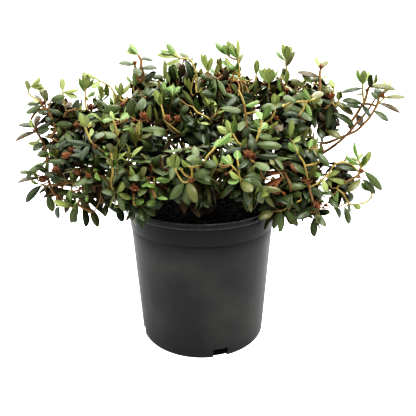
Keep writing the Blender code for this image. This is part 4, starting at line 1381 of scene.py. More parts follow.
class Finish:
    """A material with its own Principled shader, and the groups placed in it."""

    def __init__(self, name, **shader_inputs):
        self.material = bpy.data.materials.new(name)
        self.material.use_nodes = True
        self.build = Tree(self.material.node_tree)
        self.shader = self.material.node_tree.nodes["Principled BSDF"]
        for key, value in shader_inputs.items():
            self.shader.inputs[key.replace("_", " ")].default_value = value

    def group(self, tree, **inputs):
        return self.build.add("ShaderNodeGroup", inputs, node_tree=tree).outputs

    def mix(self, factor, first, second):
        return self.build.add("ShaderNodeMix", {0: factor, 6: first, 7: second}, data_type="RGBA").outputs[2]

    def to(self, key, value):
        self.build.feed(self.shader.inputs[key], value)

    def roughness(self, value, low, high):
        self.to("Roughness", self.build.ranged(value, 0.0, 1.0, low, high))

    def bump(self, height, strength, distance):
        inputs = {"Height": height, "Strength": strength, "Distance": distance}
        self.to("Normal", self.build.add("ShaderNodeBump", inputs).outputs["Normal"])


def opaque(colour):
    return (*colour, 1.0)


# Stage

def build_world(settings):
    """White surroundings: soft light from above and behind, and less of it from the camera's side."""
    world = bpy.data.worlds.new("studio")
    world.use_nodes = True
    build = Tree(world.node_tree)
    direction = build.add("ShaderNodeTexCoord").outputs["Generated"]
    axes = build.add("ShaderNodeSeparateXYZ", {0: direction}).outputs
    above = build.ranged(axes["Z"], -0.1, 0.9, settings.world_side, settings.world_top)
    behind = build.ranged(axes["Y"], -0.9, 0.2, settings.world_front, 1.0)
    glow = build.times(above, behind)
    seen = build.add("ShaderNodeLightPath").outputs["Is Camera Ray"]
    strength = build.add("ShaderNodeMix", {0: seen, 2: glow, 3: 1.02}, data_type="FLOAT")
    background = world.node_tree.nodes["Background"]
    background.inputs["Color"].default_value = opaque(settings.world_colour)
    build.feed(background.inputs["Strength"], strength.outputs[0])
    bpy.context.scene.world = world


def build_stage():
    """Floor, lights, world and the camera at the photograph's place."""
    settings = bpy.context.scene.rhododendron_stage
    scene = bpy.context.scene
    scene.view_settings.view_transform = "Standard"
    scene.view_settings.look = "Very High Contrast"
    scene.view_settings.exposure = 0
    scene.view_settings.gamma = 1

    finish = Finish("pale_floor", Roughness=0.7)
    mottle = finish.group(mottle_group(), Colour=opaque(settings.floor_colour), Scale=6.0, Amount=0.02)
    finish.to("Base Color", mottle["Colour"])
    finish.to("Emission Color", (1, 1, 1, 1))
    seen = finish.build.add("ShaderNodeLightPath").outputs["Is Camera Ray"]
    finish.to("Emission Strength", finish.build.times(seen, settings.floor_glow))
    half = settings.floor_half_width
    floor = mesh_object("floor", [(-half, -half, 0), (half, -half, 0), (half, half, 0), (-half, half, 0)],
                        [(0, 1, 2, 3)])
    floor.data.materials.append(finish.material)
    build_world(settings)

    lamps = (
        ("key_light", settings.key_power, 1.2, (0.7, -0.9, 2.1)),
        ("fill_light", settings.fill_power, 1.6, (-1.6, -0.9, 1.1)),
        ("back_light", settings.back_power, 1.2, (0.3, 1.8, 1.6)),
    )
    target = Vector((0, 0, 0.28))
    for name, power, size, place in lamps:
        data = bpy.data.lights.new(name, "AREA")
        data.energy = power
        data.size = size
        lamp = link(bpy.data.objects.new(name, data))
        lamp.location = place
        lamp.rotation_euler = (target - Vector(place)).to_track_quat("-Z", "Y").to_euler()

    data = bpy.data.cameras.new("camera")
    data.sensor_width = SENSOR_WIDTH
    data.lens = settings.lens
    data.clip_start = 0.01
    camera = link(bpy.data.objects.new("camera", data))
    turn = camera_turn(settings.camera_pitch, settings.camera_yaw, settings.camera_roll)
    camera.matrix_world = Matrix.Translation((0, -settings.camera_distance, settings.camera_height)) @ turn
    scene.camera = camera


# Pot

def arc(centre, radius, start_deg, end_deg, steps):
    """Points of a round corner in a profile."""
    angles = [math.radians(start_deg + (end_deg - start_deg) * step / steps) for step in range(steps + 1)]
    return [(centre[0] + radius * math.cos(a), centre[1] + radius * math.sin(a)) for a in angles]


def turned(name, profile, segments):
    """A turned shape: the profile, a row of (radius, height) from axis to axis, spun round Z."""
    bm = bmesh.new()
    points = [bm.verts.new((radius, 0, height)) for radius, height in profile]
    edges = [bm.edges.new(pair) for pair in zip(points, points[1:])]
    bmesh.ops.spin(bm, geom=points + edges, cent=(0, 0, 0), axis=(0, 0, 1), angle=math.tau,
                   steps=segments, use_merge=True)
    bmesh.ops.remove_doubles(bm, verts=bm.verts, dist=1e-6)
    bmesh.ops.recalc_face_normals(bm, faces=bm.faces)
    return bmesh_object(name, bm)


def inner_radius(height):
    """The pot's inner radius."""
    if height < BAND_FOOT_HEIGHT:
        share = height / BAND_FOOT_HEIGHT
        return BODY_FOOT_RADIUS + (BODY_TOP_RADIUS - BODY_FOOT_RADIUS) * share - WALL
    top = POT_BOX[1].z
    share = min(1.0, (height - BAND_FOOT_HEIGHT) / (top - 0.0015 - BAND_FOOT_HEIGHT))
    foot = BAND_FOOT_RADIUS - WALL
    return foot + (POT_BOX[1].x - LIP_WIDTH - foot) * share


def plastic_finish(colour, band_dark_reflection_colour):
    """Black moulded plastic: satin, with fine streaks, dust patches and scuffs; the band is painted darker
    and bluer than the body as a painted dark reflection, and two thin lines along the lip are painted
    highlights.
    """
    finish = Finish(
        "black_plastic", Roughness=0.4, Coat_Weight=0.2, Coat_Roughness=0.25, Specular_IOR_Level=0.32
    )
    build = finish.build
    place = build.place()
    height = build.add("ShaderNodeSeparateXYZ", {0: place}).outputs["Z"]
    # Painted reflection: from the top of the body up, the band takes a darker, bluer colour than the plastic
    # below, for the darker surroundings that it reflects at the front.
    low = build.ranged(height, BAND_FOOT_HEIGHT - 0.04, BAND_FOOT_HEIGHT + 0.003, 1.0, 0.2)
    tinted = finish.mix(low, opaque(band_dark_reflection_colour), opaque(colour))
    mottle = finish.group(mottle_group(), Colour=tinted, Scale=14.0, Amount=0.25)
    dust = finish.group(dust_group(), Scale=11.0, Cover=0.22, Upward=0.35)
    wear = finish.group(wear_group(), Amount=0.5, Scale=90.0)
    streaks = finish.group(fibre_group(), Place=place, Scale=160.0, Stretch=0.05)
    laid = build.times(build.math("ADD", dust["Mask"], 0.06), low)
    dusty = finish.mix(laid, mottle["Colour"], (0.17, 0.165, 0.15, 1))
    worn = finish.mix(wear["Mask"], dusty, (0.10, 0.10, 0.10, 1))
    top = POT_BOX[1].z
    # Painted highlights: two thin pale lines, at the lip's top edge and at its lower edge, stand in for light
    # caught on the rolled lip; the streaks break them up.
    edges = [
        build.ranged(build.math("ABSOLUTE", build.math("SUBTRACT", height, edge)), 0.0004, 0.0013, shine, 0.0)
        for edge, shine in ((top - 0.0002, 0.75), (top - LIP_HEIGHT + 0.0006, 0.6))
    ]
    painted_lip_highlights = build.times(build.math("ADD", *edges), streaks["Height"])
    finish.to("Base Color", finish.mix(painted_lip_highlights, worn, (0.28, 0.28, 0.28, 1)))
    total = build.math("MULTIPLY_ADD", dust["Mask"], 1.2, build.times(streaks["Height"], 0.5))
    finish.roughness(total, 0.30, 0.62)
    finish.bump(streaks["Height"], 0.12, 0.0006)
    return finish.material


def build_pot():
    """The nursery pot: rolled lip, shoulder band, rounded foot and four drain notches."""
    settings = bpy.context.scene.rhododendron_pot
    lip, top = POT_BOX[1].x, POT_BOX[1].z
    lip_foot = top - LIP_HEIGHT
    mouth = lip - LIP_WIDTH
    roll = settings.lip_roll
    profile = [(0, 0.0), (0.030, 0.0), (BODY_FOOT_RADIUS - 0.0045, 0.0)]
    profile += arc((BODY_FOOT_RADIUS - 0.0032, FOOT_CORNER), FOOT_CORNER, -90, 0, 5)
    for step in range(1, BODY_RINGS + 1):
        height = FOOT_CORNER + (BAND_FOOT_HEIGHT - 0.0016 - FOOT_CORNER) * step / BODY_RINGS
        widening = (BODY_TOP_RADIUS - BODY_FOOT_RADIUS) * height / BAND_FOOT_HEIGHT
        profile.append((BODY_FOOT_RADIUS + widening, height))
    profile += [
        (BODY_TOP_RADIUS - 0.0005, BAND_FOOT_HEIGHT - 0.0006),
        (BODY_TOP_RADIUS - 0.0003, BAND_FOOT_HEIGHT + 0.0002),
        (BAND_FOOT_RADIUS, BAND_FOOT_HEIGHT + 0.0012),
        (BAND_FOOT_RADIUS + 0.0003, BAND_FOOT_HEIGHT + 0.0030),
        (BAND_TOP_RADIUS - 0.0003, lip_foot - 0.0016),
        (BAND_TOP_RADIUS - 0.0006, lip_foot - 0.0004),
        (BAND_TOP_RADIUS - 0.0002, lip_foot),
    ]
    profile += arc((lip - LIP_EDGE, lip_foot + LIP_EDGE), LIP_EDGE, -80, 0, 4)
    profile += arc((lip - roll, top - roll), roll, 0, 90, 5)
    profile += arc((mouth + roll, top - roll), roll, 90, 180, 5)
    profile += [
        (mouth + 0.0002, top - 0.0045),
        (inner_radius(BAND_FOOT_HEIGHT + 0.001), BAND_FOOT_HEIGHT + 0.001),
        (inner_radius(BAND_FOOT_HEIGHT - 0.001), BAND_FOOT_HEIGHT - 0.001),
        (inner_radius(FLOOR), FLOOR),
        (0, FLOOR),
    ]
    pot = turned("pot_shell", profile, settings.segments)
    pot.data.materials.append(plastic_finish(settings.plastic_colour, settings.band_dark_reflection_colour))
    for notch in range(NOTCH_COUNT):
        cut_notch(pot, FIRST_NOTCH + math.tau * notch / NOTCH_COUNT)
    pot.data.shade_smooth()
    pot.data.set_sharp_from_angle(angle=math.radians(32))
    keep(pot, ("pot",))


def cut_notch(pot, angle):
    """Cuts a drain notch out of the foot's corner: a box cut through the wall and the floor's edge behind it.
    """
    inward = BODY_FOOT_RADIUS - NOTCH_DEPTH
    outward = BODY_FOOT_RADIUS + 0.006
    half, foot = NOTCH_WIDTH / 2, -0.004
    sides = ((-half, foot), (half, foot), (half, NOTCH_HEIGHT), (-half, NOTCH_HEIGHT))
    corners = [(radius, *side) for radius in (outward, inward) for side in sides]
    faces = [(0, 1, 2, 3), (5, 4, 7, 6), (1, 5, 6, 2), (4, 0, 3, 7), (3, 2, 6, 7), (4, 5, 1, 0)]
    cutter = mesh_object("notch", corners, faces)
    cutter.data.transform(Matrix.Rotation(angle, 4, "Z"))
    apply_boolean(pot, "DIFFERENCE", cutter)


def apply_boolean(obj, operation, other):
    modifier = obj.modifiers.new(operation.lower(), "BOOLEAN")
    modifier.operation = operation
    modifier.solver = "EXACT"
    modifier.object = other
    apply_modifier(obj, modifier)
    bpy.data.objects.remove(other)


# Mulch

def mulch_finish(name, colour, fibre_scale):
    finish = Finish(name, Roughness=0.9, Specular_IOR_Level=0.2)
    place = finish.build.place()
    mottle = finish.group(mottle_group(), Colour=opaque(colour), Scale=180.0, Amount=0.6)
    fibres = finish.group(fibre_group(), Place=place, Scale=fibre_scale, Stretch=0.4)
    finish.to("Base Color", mottle["Colour"])
    finish.roughness(fibres["Height"], 0.62, 0.98)
    finish.bump(fibres["Height"], 0.5, 0.001)
    return finish.material


def mulch_height(x, y):
    """The mulch's top: settled towards the wall, with lumps and pits."""
    radius = math.hypot(x, y)
    rim = inner_radius(MULCH_TOP)
    settle = MULCH_SETTLE * max(0.0, (radius - LEVEL_RADIUS) / (rim - LEVEL_RADIUS))
    lumps = sum(noise.noise((x * scale, y * scale, at)) * height for scale, at, height in MULCH_LUMPS)
    fade = min(1.0, max(0.0, (radius - 0.016) / 0.02))
    return MULCH_TOP - settle + lumps * fade


def circle(radius, steps):
    """Points round the axis, from +X on."""
    angles = [math.tau * step / steps for step in range(steps)]
    return [(radius * math.cos(angle), radius * math.sin(angle)) for angle in angles]


def build_mulch():
    """The bark mulch: a lumpy bed that fills the pot, loose chips on it and fibres among them."""
    settings = bpy.context.scene.rhododendron_mulch
    rings, segments = 34, 112
    rim = inner_radius(MULCH_TOP - MULCH_SETTLE) - 0.0002
    points, faces = [(0, 0, mulch_height(0, 0))], []
    for ring in range(1, rings + 1):
        points += [(x, y, mulch_height(x, y)) for x, y in circle(rim * ring / rings, segments)]
    for inside, height in ((BAND_FOOT_HEIGHT - 0.001, BAND_FOOT_HEIGHT - 0.001), (FLOOR, FLOOR + 0.0003)):
        points += [(x, y, height) for x, y in circle(inner_radius(inside) - 0.0003, segments)]
    points.append((0, 0, FLOOR + 0.0003))
    for step in range(segments):
        after = (step + 1) % segments
        faces.append((0, 1 + step, 1 + after))
        for ring in range(rings + 1):
            a, b = 1 + ring * segments + step, 1 + ring * segments + after
            faces.append((a, a + segments, b + segments, b))
        last = 1 + (rings + 1) * segments
        faces.append((len(points) - 1, last + after, last + step))
    bed = mesh_object("mulch_bed", points, faces)
    bed.data.shade_smooth()
    bed.data.set_sharp_from_angle(angle=math.radians(50))
    bed.data.materials.append(mulch_finish("bark_mulch", settings.mulch_colour, 220.0))
    keep(bed, ("soil",))

    keep(scatter_chips(settings))
    keep(straw_fibres(settings))


def chip_tree():
    """A tree that lays flat chips of bark at random over a surface."""
    build, given, out = geometry_tree(
        "Bark chips",
        (("Density", "Float", 20000.0), ("Smallest", "Float", 0.002), ("Largest", "Float", 0.01),
         ("Chip", "Object", None), ("Material", "Material", None), ("Seed", "Int", 3)),
    )
    density, seed = given["Density"], given["Seed"]
    cast = build.change("DistributePointsOnFaces", given["Geometry"], Density=density, Seed=seed)
    chip = build.add("GeometryNodeObjectInfo", {"Object": given["Chip"]})
    least, most = (-0.7, -0.7, 0.0), (0.7, 0.7, math.tau)
    spin = build.add("FunctionNodeRandomValue", {0: least, 1: most, "Seed": seed}, data_type="FLOAT_VECTOR")
    length = build.add("FunctionNodeRandomValue", {2: given["Smallest"], 3: given["Largest"], "Seed": 7})
    least, most = (0.7, 0.25, 0.12), (1.0, 0.6, 0.35)
    flat = build.add("FunctionNodeRandomValue", {0: least, 1: most, "Seed": 5}, data_type="FLOAT_VECTOR")
    size = build.scaled(flat.outputs[0], length.outputs[1])
    turn = build.add("FunctionNodeEulerToRotation", {0: spin.outputs[0]}).outputs[0]
    laid = build.instances(cast, chip.outputs["Geometry"], Rotation=turn, Scale=size)
    build.feed(out["Geometry"], build.change("SetMaterial", laid, Material=given["Material"]))
    return build


def scatter_chips(settings):
    """Loose chips of bark over the bed."""
    bm = bmesh.new()
    bmesh.ops.create_icosphere(bm, subdivisions=1, radius=0.5)
    chip = bmesh_object("chip", bm)
    ground = bpy.data.meshes.new("ground")
    rings, segments = 26, 72
    rim = inner_radius(MULCH_TOP - MULCH_SETTLE) - 0.005
    inner = 0.019
    points, faces = [], []
    for ring in range(rings + 1):
        spots = circle(inner + (rim - inner) * ring / rings, segments)
        points += [(x, y, mulch_height(x, y) + 0.0004) for x, y in spots]
    for ring in range(rings):
        for step in range(segments):
            a, b = ring * segments + step, ring * segments + (step + 1) % segments
            faces.append((a, a + segments, b + segments, b))
    ground.from_pydata(points, [], faces)
    values = {
        "Density": settings.chip_density,
        "Smallest": settings.chip_smallest,
        "Largest": settings.chip_largest,
        "Chip": chip,
        "Material": mulch_finish("bark_chips", settings.chip_colour, 500.0),
    }
    chips = grown("bark_chips", ground, chip_tree(), values)
    bpy.data.objects.remove(chip)
    return chips


def straw_fibres(settings):
    """Pale straw-like fibres that lie on the mulch."""
    chance = random.Random(21)
    tubes = []
    for _ in range(settings.fibre_count):
        angle, radius = chance.uniform(0, math.tau), 0.108 * math.sqrt(chance.uniform(0.08, 1))
        place = Vector((radius * math.cos(angle), radius * math.sin(angle), 0))
        heading, bend = chance.uniform(0, math.tau), chance.uniform(-60, 60)
        length, steps = chance.uniform(0.012, 0.034), 7
        path = []
        for step in range(steps):
            turn = heading + bend * length * step / steps
            place = place + Vector((math.cos(turn), math.sin(turn), 0)) * length / steps
            lift = 0.0010 + 0.0025 * math.sin(math.pi * step / (steps - 1)) * chance.uniform(0.2, 1.0)
            path.append(Vector((place.x, place.y, mulch_height(place.x, place.y) + lift)))
        if max(math.hypot(p.x, p.y) for p in path) < 0.112:
            tubes.append(Tube(path, [0.00028] * steps))
    straw = bark_finish("straw", settings.straw_colour, rough=0.15)
    return grow_tubes("straw_fibres", tubes, straw, sides=4, relief=0.0)


# Trunk, boughs and twigs

@functools.cache
def tube_tree():
    """A tree that makes a tube round each line, as thick as the line says, with ridges that run along it."""
    build, given, out = geometry_tree(
        "Limb",
        (("Sides", "Int", 10), ("Relief", "Float", 0.0), ("Ridges", "Float", 2.2),
         ("Lobe depth", "Float", 0.0), ("Material", "Material", None)),
    )
    line = build.change("MeshToCurve", given["Geometry"])
    lengths = build.add("GeometryNodeSplineParameter").outputs["Length"]
    line = build.store(line, "limb_length", lengths)
    ring = build.add("GeometryNodeCurvePrimitiveCircle", {"Resolution": given["Sides"], "Radius": 1.0})
    turns = build.add("GeometryNodeSplineParameter").outputs["Factor"]
    ring = build.store(ring.outputs[0], "limb_turn", turns)
    radius = build.attribute("limb_radius")
    skin = build.change("CurveToMesh", line, Profile_Curve=ring, Scale=radius, Fill_Caps=True)
    angle = build.times(build.attribute("limb_turn"), math.tau)
    place = build.add("ShaderNodeCombineXYZ", {
        "X": build.times(build.math("COSINE", angle), given["Ridges"]),
        "Y": build.times(build.math("SINE", angle), given["Ridges"]),
        "Z": build.times(build.attribute("limb_length"), 60.0),
    })
    shifted = build.vector_math("ADD", place.outputs[0], build.attribute("limb_seed", "FLOAT_VECTOR"))
    rough = build.times(build.math("SUBTRACT", build.noise(shifted, 1.0, 3.0), 0.5), given["Relief"])
    lobes = build.math("COSINE", build.times(angle, float(FLARE_LOBES)))
    lobe = build.times(lobes, build.times(given["Lobe depth"], build.attribute("limb_flare")))
    swell = build.times(build.math("ADD", rough, lobe), radius)
    normal = build.add("GeometryNodeInputNormal").outputs["Normal"]
    shaped = build.change("SetPosition", skin, Offset=build.scaled(normal, swell))
    smooth = build.change("SetShadeSmooth", shaped, Shade_Smooth=True)
    build.feed(out["Geometry"], build.change("SetMaterial", smooth, Material=given["Material"]))
    return build


def grow_tubes(name, tubes, finish, sides, relief, lobe_depth=0.0, ridges=2.2):
    """One piece of all those tubes, whose root flare fades over their first points."""
    points, edges, radii, seeds, flares = [], [], [], [], []
    for number, tube in enumerate(tubes):
        first = len(points)
        points += [tuple(p) for p in tube.path]
        edges += [(first + i, first + i + 1) for i in range(len(tube.path) - 1)]
        radii += tube.radii
        seeds += [(number * 3.7, number * 1.3, 0)] * len(tube.path)
        flares += [max(0.0, 1 - i / FLARE_POINTS) ** 2 for i in range(len(tube.path))]
    mesh = bpy.data.meshes.new(name)
    mesh.from_pydata(points, edges, [])
    add_attribute(mesh, "limb_radius", "FLOAT", radii)
    add_attribute(mesh, "limb_seed", "FLOAT_VECTOR", seeds)
    add_attribute(mesh, "limb_flare", "FLOAT", flares)
    values = {"Sides": sides, "Relief": relief, "Ridges": ridges, "Lobe depth": lobe_depth}
    return grown(name, mesh, tube_tree(), {**values, "Material": finish})


def bark_finish(name, colour, rough):
    """Thin bark: mottled brown with fine fibres."""
    finish = Finish(name, Roughness=0.8)
    place = finish.build.place()
    mottle = finish.group(mottle_group(), Colour=opaque(colour), Scale=260.0, Amount=0.55)
    fibres = finish.group(fibre_group(), Place=place, Scale=900.0, Stretch=0.25)
    finish.to("Base Color", mottle["Colour"])
    finish.roughness(fibres["Height"], 0.55, 0.95)
    finish.bump(fibres["Height"], rough, 0.0005)
    return finish.material


def trunk_tube():
    """The trunk's path and radii, straight from ring to ring."""
    path, radii = [], []
    steps = 8
    rings = [(Vector((x, y, MULCH_TOP - 0.001 + rise)), radius) for rise, radius, x, y in TRUNK_RINGS]
    for (low, low_radius), (high, high_radius) in zip(rings, rings[1:]):
        for step in range(steps):
            share = step / steps
            path.append(low.lerp(high, share))
            radii.append(low_radius + (high_radius - low_radius) * share)
    path.append(rings[-1][0])
    radii.append(rings[-1][1])
    return Tube(path, radii)


def build_limbs():
    """The trunk with its root flare, and the boughs, with the bark's relief in the mesh."""
    settings = bpy.context.scene.rhododendron_plant
    # The trunk's bark colour is darker than the boughs': painted shade for the deep shadow inside the crown.
    bark = bark_finish("old_bark", settings.trunk_shade_colour, rough=0.7)
    trunk = grow_tubes(
        "trunk_bark", [trunk_tube()], bark, sides=48, relief=0.22, lobe_depth=FLARE_DEPTH, ridges=3.4
    )
    keep(trunk, ("trunk",))
    bark = bark_finish("bark", settings.bark_colour, rough=0.6)
    keep(grow_tubes("bough_bark", crown().boughs, bark, sides=12, relief=0.30), BOUGH_NODES)


def build_twigs():
    """The brown twigs and the yellow-green shoots of this year."""
    settings = bpy.context.scene.rhododendron_plant
    bark = bark_finish("twig_bark", settings.twig_colour, rough=0.4)
    keep(grow_tubes("twigs", crown().twigs, bark, sides=6, relief=0.30))
    skin = bark_finish("shoot_skin", settings.shoot_colour, rough=0.1)
    keep(grow_tubes("shoots", crown().shoots, skin, sides=5, relief=0.0))


# Leaves

def leaf_blank(name, stations, columns, petiole, widest, bluntness, thickness, rib, quilt):
    """A flat leaf of unit length: X runs along it, Y across it as a share of half its width, Z is up.

    Its top has a column of faces for the midrib between the middle columns, and its underside has a keel. The
    attribute part is 0 on the top, 1 on the midrib and 2 on the underside.
    """
    def half_width(u):
        if u <= petiole:
            return 0.10
        blade = (u - petiole) / (1 - petiole)
        return max(0.0, math.sin(math.pi * blade ** (math.log(0.5) / math.log(widest)))) ** bluntness

    points, faces, parts = [], [], []
    top_rows, under_rows = [], []
    for u in stations[:-1]:
        half = max(half_width(u), 0.10)
        rows = []
        for v in columns:
            hump = thickness + (rib if abs(v) < 0.2 else quilt * half)
            rows.append(len(points))
            points.append((u, v * half, hump if abs(v) < 1 else 0.0))
        top_rows.append(rows)
        under_rows.append((rows[0], len(points), rows[-1]))
        points.append((u, 0.0, -thickness * 1.5))
    tip = len(points)
    points.append((1.0, 0.0, 0.0))
    strips = len(columns) - 1
    for row, following in zip(top_rows, top_rows[1:]):
        for i in range(strips):
            faces.append((row[i], following[i], following[i + 1], row[i + 1]))
            parts.append(1 if abs(columns[i]) < 0.2 and abs(columns[i + 1]) < 0.2 else 0)
    for i in range(strips):
        faces.append((top_rows[-1][i], tip, top_rows[-1][i + 1]))
        parts.append(0)
    for row, following in zip(under_rows, under_rows[1:]):
        for i in range(2):
            faces.append((row[i + 1], following[i + 1], following[i], row[i]))
            parts.append(2)
    for i in range(2):
        faces.append((under_rows[-1][i + 1], tip, under_rows[-1][i]))
        parts.append(2)
    faces.append((*top_rows[0], under_rows[0][1]))
    parts.append(2)
    blank = mesh_object(name, points, faces)
    bm = bmesh.new()
    bm.from_mesh(blank.data)
    bmesh.ops.recalc_face_normals(bm, faces=bm.faces)
    bm.to_mesh(blank.data)
    bm.free()
    blank.data.attributes.new("part", "INT", "FACE").data.foreach_set("value", parts)
    blank.data.shade_smooth()
    blank.data.set_sharp_from_angle(angle=math.radians(60))
    return blank


@functools.cache
def leaf_tree():
    """A tree that puts a leaf on each point and bends it as the point's own attributes say."""
    build, given, out = geometry_tree(
        "Leaves",
        (("Blank", "Object", None), ("Top", "Material", None), ("Midrib", "Material", None),
         ("Underside", "Material", None)),
    )
    blank = build.add("GeometryNodeObjectInfo", {"Object": given["Blank"]}).outputs["Geometry"]
    here = build.add("GeometryNodeInputPosition").outputs[0]
    form = build.store(blank, "form", here, "FLOAT_VECTOR")
    rooted = build.store(given["Geometry"], "leaf_root", here, "FLOAT_VECTOR")
    laid = build.instances(rooted, form)
    shape = build.add("ShaderNodeSeparateXYZ", {0: build.attribute("form", "FLOAT_VECTOR")}).outputs
    length = build.attribute("leaf_length")
    half_width = build.times(build.attribute("leaf_width"), 0.5)
    bend = build.times(build.attribute("leaf_droop"), shape["X"])
    reach = build.times(shape["X"], length, build.math("MULTIPLY_ADD", build.times(bend, bend), -1 / 6, 1.0))
    drop = build.times(bend, shape["X"], build.times(length, -0.5))
    wide = build.math("ABSOLUTE", shape["Y"])
    roll = build.times(wide, wide, build.attribute("leaf_curl"), build.times(half_width, -1.0))
    lift = build.math("ADD", build.math("ADD", drop, roll), shape["Z"])
    along = build.attribute("leaf_along", "FLOAT_VECTOR")
    face = build.attribute("leaf_face", "FLOAT_VECTOR")
    side = build.vector_math("CROSS_PRODUCT", face, along)
    place = build.attribute("leaf_root", "FLOAT_VECTOR")
    for way, distance in ((along, reach), (side, build.times(shape["Y"], half_width)), (face, lift)):
        place = build.vector_math("ADD", place, build.scaled(way, distance))
    done = build.change("SetPosition", laid, Position=place)
    for number, name in enumerate(("Top", "Midrib", "Underside")):
        part = {2: build.attribute("part", "INT"), 3: number}
        chosen = build.add("FunctionNodeCompare", part, data_type="INT", operation="EQUAL").outputs[0]
        done = build.change("SetMaterial", done, Selection=chosen, Material=given[name])
    build.feed(out["Geometry"], done)
    return build


def leaf_finish(name, colour, roughness, coat):
    """A leaf's surface: its spray's plain colour, barely mottled, with a fine grain and a soft gloss."""
    finish = Finish(name, Roughness=roughness, Coat_Weight=coat, Coat_Roughness=0.20,
                    Specular_IOR_Level=0.35)
    mottle = finish.group(mottle_group(), Colour=opaque(colour), Scale=420.0, Amount=0.22)
    finish.to("Base Color", mottle["Colour"])
    finish.roughness(mottle["Noise"], roughness - 0.08, roughness + 0.10)
    finish.bump(mottle["Noise"], 0.45, 0.0006)
    return finish.material


def leaf_piece(name, leaves, blank, top, midrib, underside):
    """One piece of all those leaves."""
    mesh = bpy.data.meshes.new(name)
    mesh.from_pydata([tuple(leaf.root) for leaf in leaves], [], [])
    add_attribute(mesh, "leaf_along", "FLOAT_VECTOR", [tuple(leaf.along) for leaf in leaves])
    add_attribute(mesh, "leaf_face", "FLOAT_VECTOR", [tuple(leaf.face) for leaf in leaves])
    for field in ("length", "width", "droop", "curl"):
        add_attribute(mesh, "leaf_" + field, "FLOAT", [getattr(leaf, field) for leaf in leaves])
    values = {"Blank": blank, "Top": top, "Midrib": midrib, "Underside": underside}
    keep(grown(name, mesh, leaf_tree(), values), FOLIAGE_NODES)


def build_leaves():
    """The old leaves in their whorls and the young leaves in their tufts, a piece to each tint."""
    settings = bpy.context.scene.rhododendron_plant
    groups = {}
    for leaf in crown().leaves:
        groups.setdefault(leaf.kind, []).append(leaf)
    old_blank = leaf_blank(
        "old_blank", (0, 0.10, 0.20, 0.36, 0.54, 0.72, 0.87, 0.96, 1.0), (-1, -0.52, -0.07, 0.07, 0.52, 1),
        petiole=0.05, widest=0.50, bluntness=0.60, thickness=0.00022, rib=0.00006, quilt=0.0007,
    )
    young_blank = leaf_blank(
        "young_blank", (0, 0.12, 0.32, 0.56, 0.78, 0.93, 1.0), (-1, -0.08, 0.08, 1),
        petiole=0.05, widest=0.56, bluntness=0.60, thickness=0.00018, rib=0.00003, quilt=0.0,
    )
    old_under = leaf_finish("old_underside", settings.old_underside_colour, roughness=0.62, coat=0.0)
    young_under = leaf_finish("young_underside", settings.young_underside_colour, roughness=0.55, coat=0.0)
    old_rib = leaf_finish("old_midrib", settings.old_midrib_colour, roughness=0.45, coat=0.1)
    young_rib = leaf_finish("young_midrib", settings.young_midrib_colour, roughness=0.45, coat=0.1)
    for tint in (*OLD_TINTS, "dead"):
        tinted = getattr(settings, tint + "_colour")
        top = leaf_finish(f"old_leaf_{tint}", tinted, roughness=0.42, coat=0.25)
        rib, under = (top, top) if tint == "dead" else (old_rib, old_under)
        leaf_piece(f"old_leaves_{tint}", groups[tint], old_blank, top, rib, under)
    for tint in YOUNG_TINTS:
        tinted = getattr(settings, tint + "_colour")
        top = leaf_finish(f"young_leaf_{tint}", tinted, roughness=0.45, coat=0.15)
        leaf_piece(f"young_leaves_{tint}", groups[tint], young_blank, top, young_rib, young_under)
    bpy.data.objects.remove(old_blank)
    bpy.data.objects.remove(young_blank)


# Seed heads and buds

@functools.cache
def capsule_tree():
    """A tree that puts a capsule on each point, turned and sized as the point says."""
    build, given, out = geometry_tree(
        "Capsules", (("Capsule", "Object", None), ("Material", "Material", None))
    )
    capsule = build.add("GeometryNodeObjectInfo", {"Object": given["Capsule"]}).outputs["Geometry"]
    axis = {"Vector": build.attribute("capsule_axis", "FLOAT_VECTOR")}
    turn = build.add("FunctionNodeAlignRotationToVector", axis, axis="Z").outputs[0]
    size = build.attribute("capsule_size", "FLOAT_VECTOR")
    laid = build.instances(given["Geometry"], capsule, Rotation=turn, Scale=size)
    smooth = build.change("SetShadeSmooth", laid, Shade_Smooth=True)
    build.feed(out["Geometry"], build.change("SetMaterial", smooth, Material=given["Material"]))
    return build


def capsule_mesh():
    """A pointed four-ribbed capsule of unit length and unit radius."""
    bm = bmesh.new()
    sides, rings = 8, ((0.0, 0.30), (0.2, 0.85), (0.6, 0.95), (0.9, 0.45))
    rows = []
    for height, radius in rings:
        row = []
        for side in range(sides):
            swell = radius * (1.0 if side % 2 else 0.78)
            angle = math.tau * side / sides
            row.append(bm.verts.new((swell * math.cos(angle), swell * math.sin(angle), height)))
        rows.append(row)
    foot, tip = bm.verts.new((0, 0, -0.04)), bm.verts.new((0, 0, 1.12))
    for row, following in zip(rows, rows[1:]):
        for side in range(sides):
            after = (side + 1) % sides
            bm.faces.new((row[side], row[after], following[after], following[side]))
    for side in range(sides):
        after = (side + 1) % sides
        bm.faces.new((foot, rows[0][after], rows[0][side]))
        bm.faces.new((rows[-1][side], rows[-1][after], tip))
    return bmesh_object("capsule", bm)


def capsule_piece(name, capsules, blank, finish):
    mesh = bpy.data.meshes.new(name)
    mesh.from_pydata([tuple(place) for place, _, _ in capsules], [], [])
    add_attribute(mesh, "capsule_axis", "FLOAT_VECTOR", [tuple(axis) for _, axis, _ in capsules])
    add_attribute(mesh, "capsule_size", "FLOAT_VECTOR", [tuple(size) for _, _, size in capsules])
    return grown(name, mesh, capsule_tree(), {"Capsule": blank, "Material": finish})


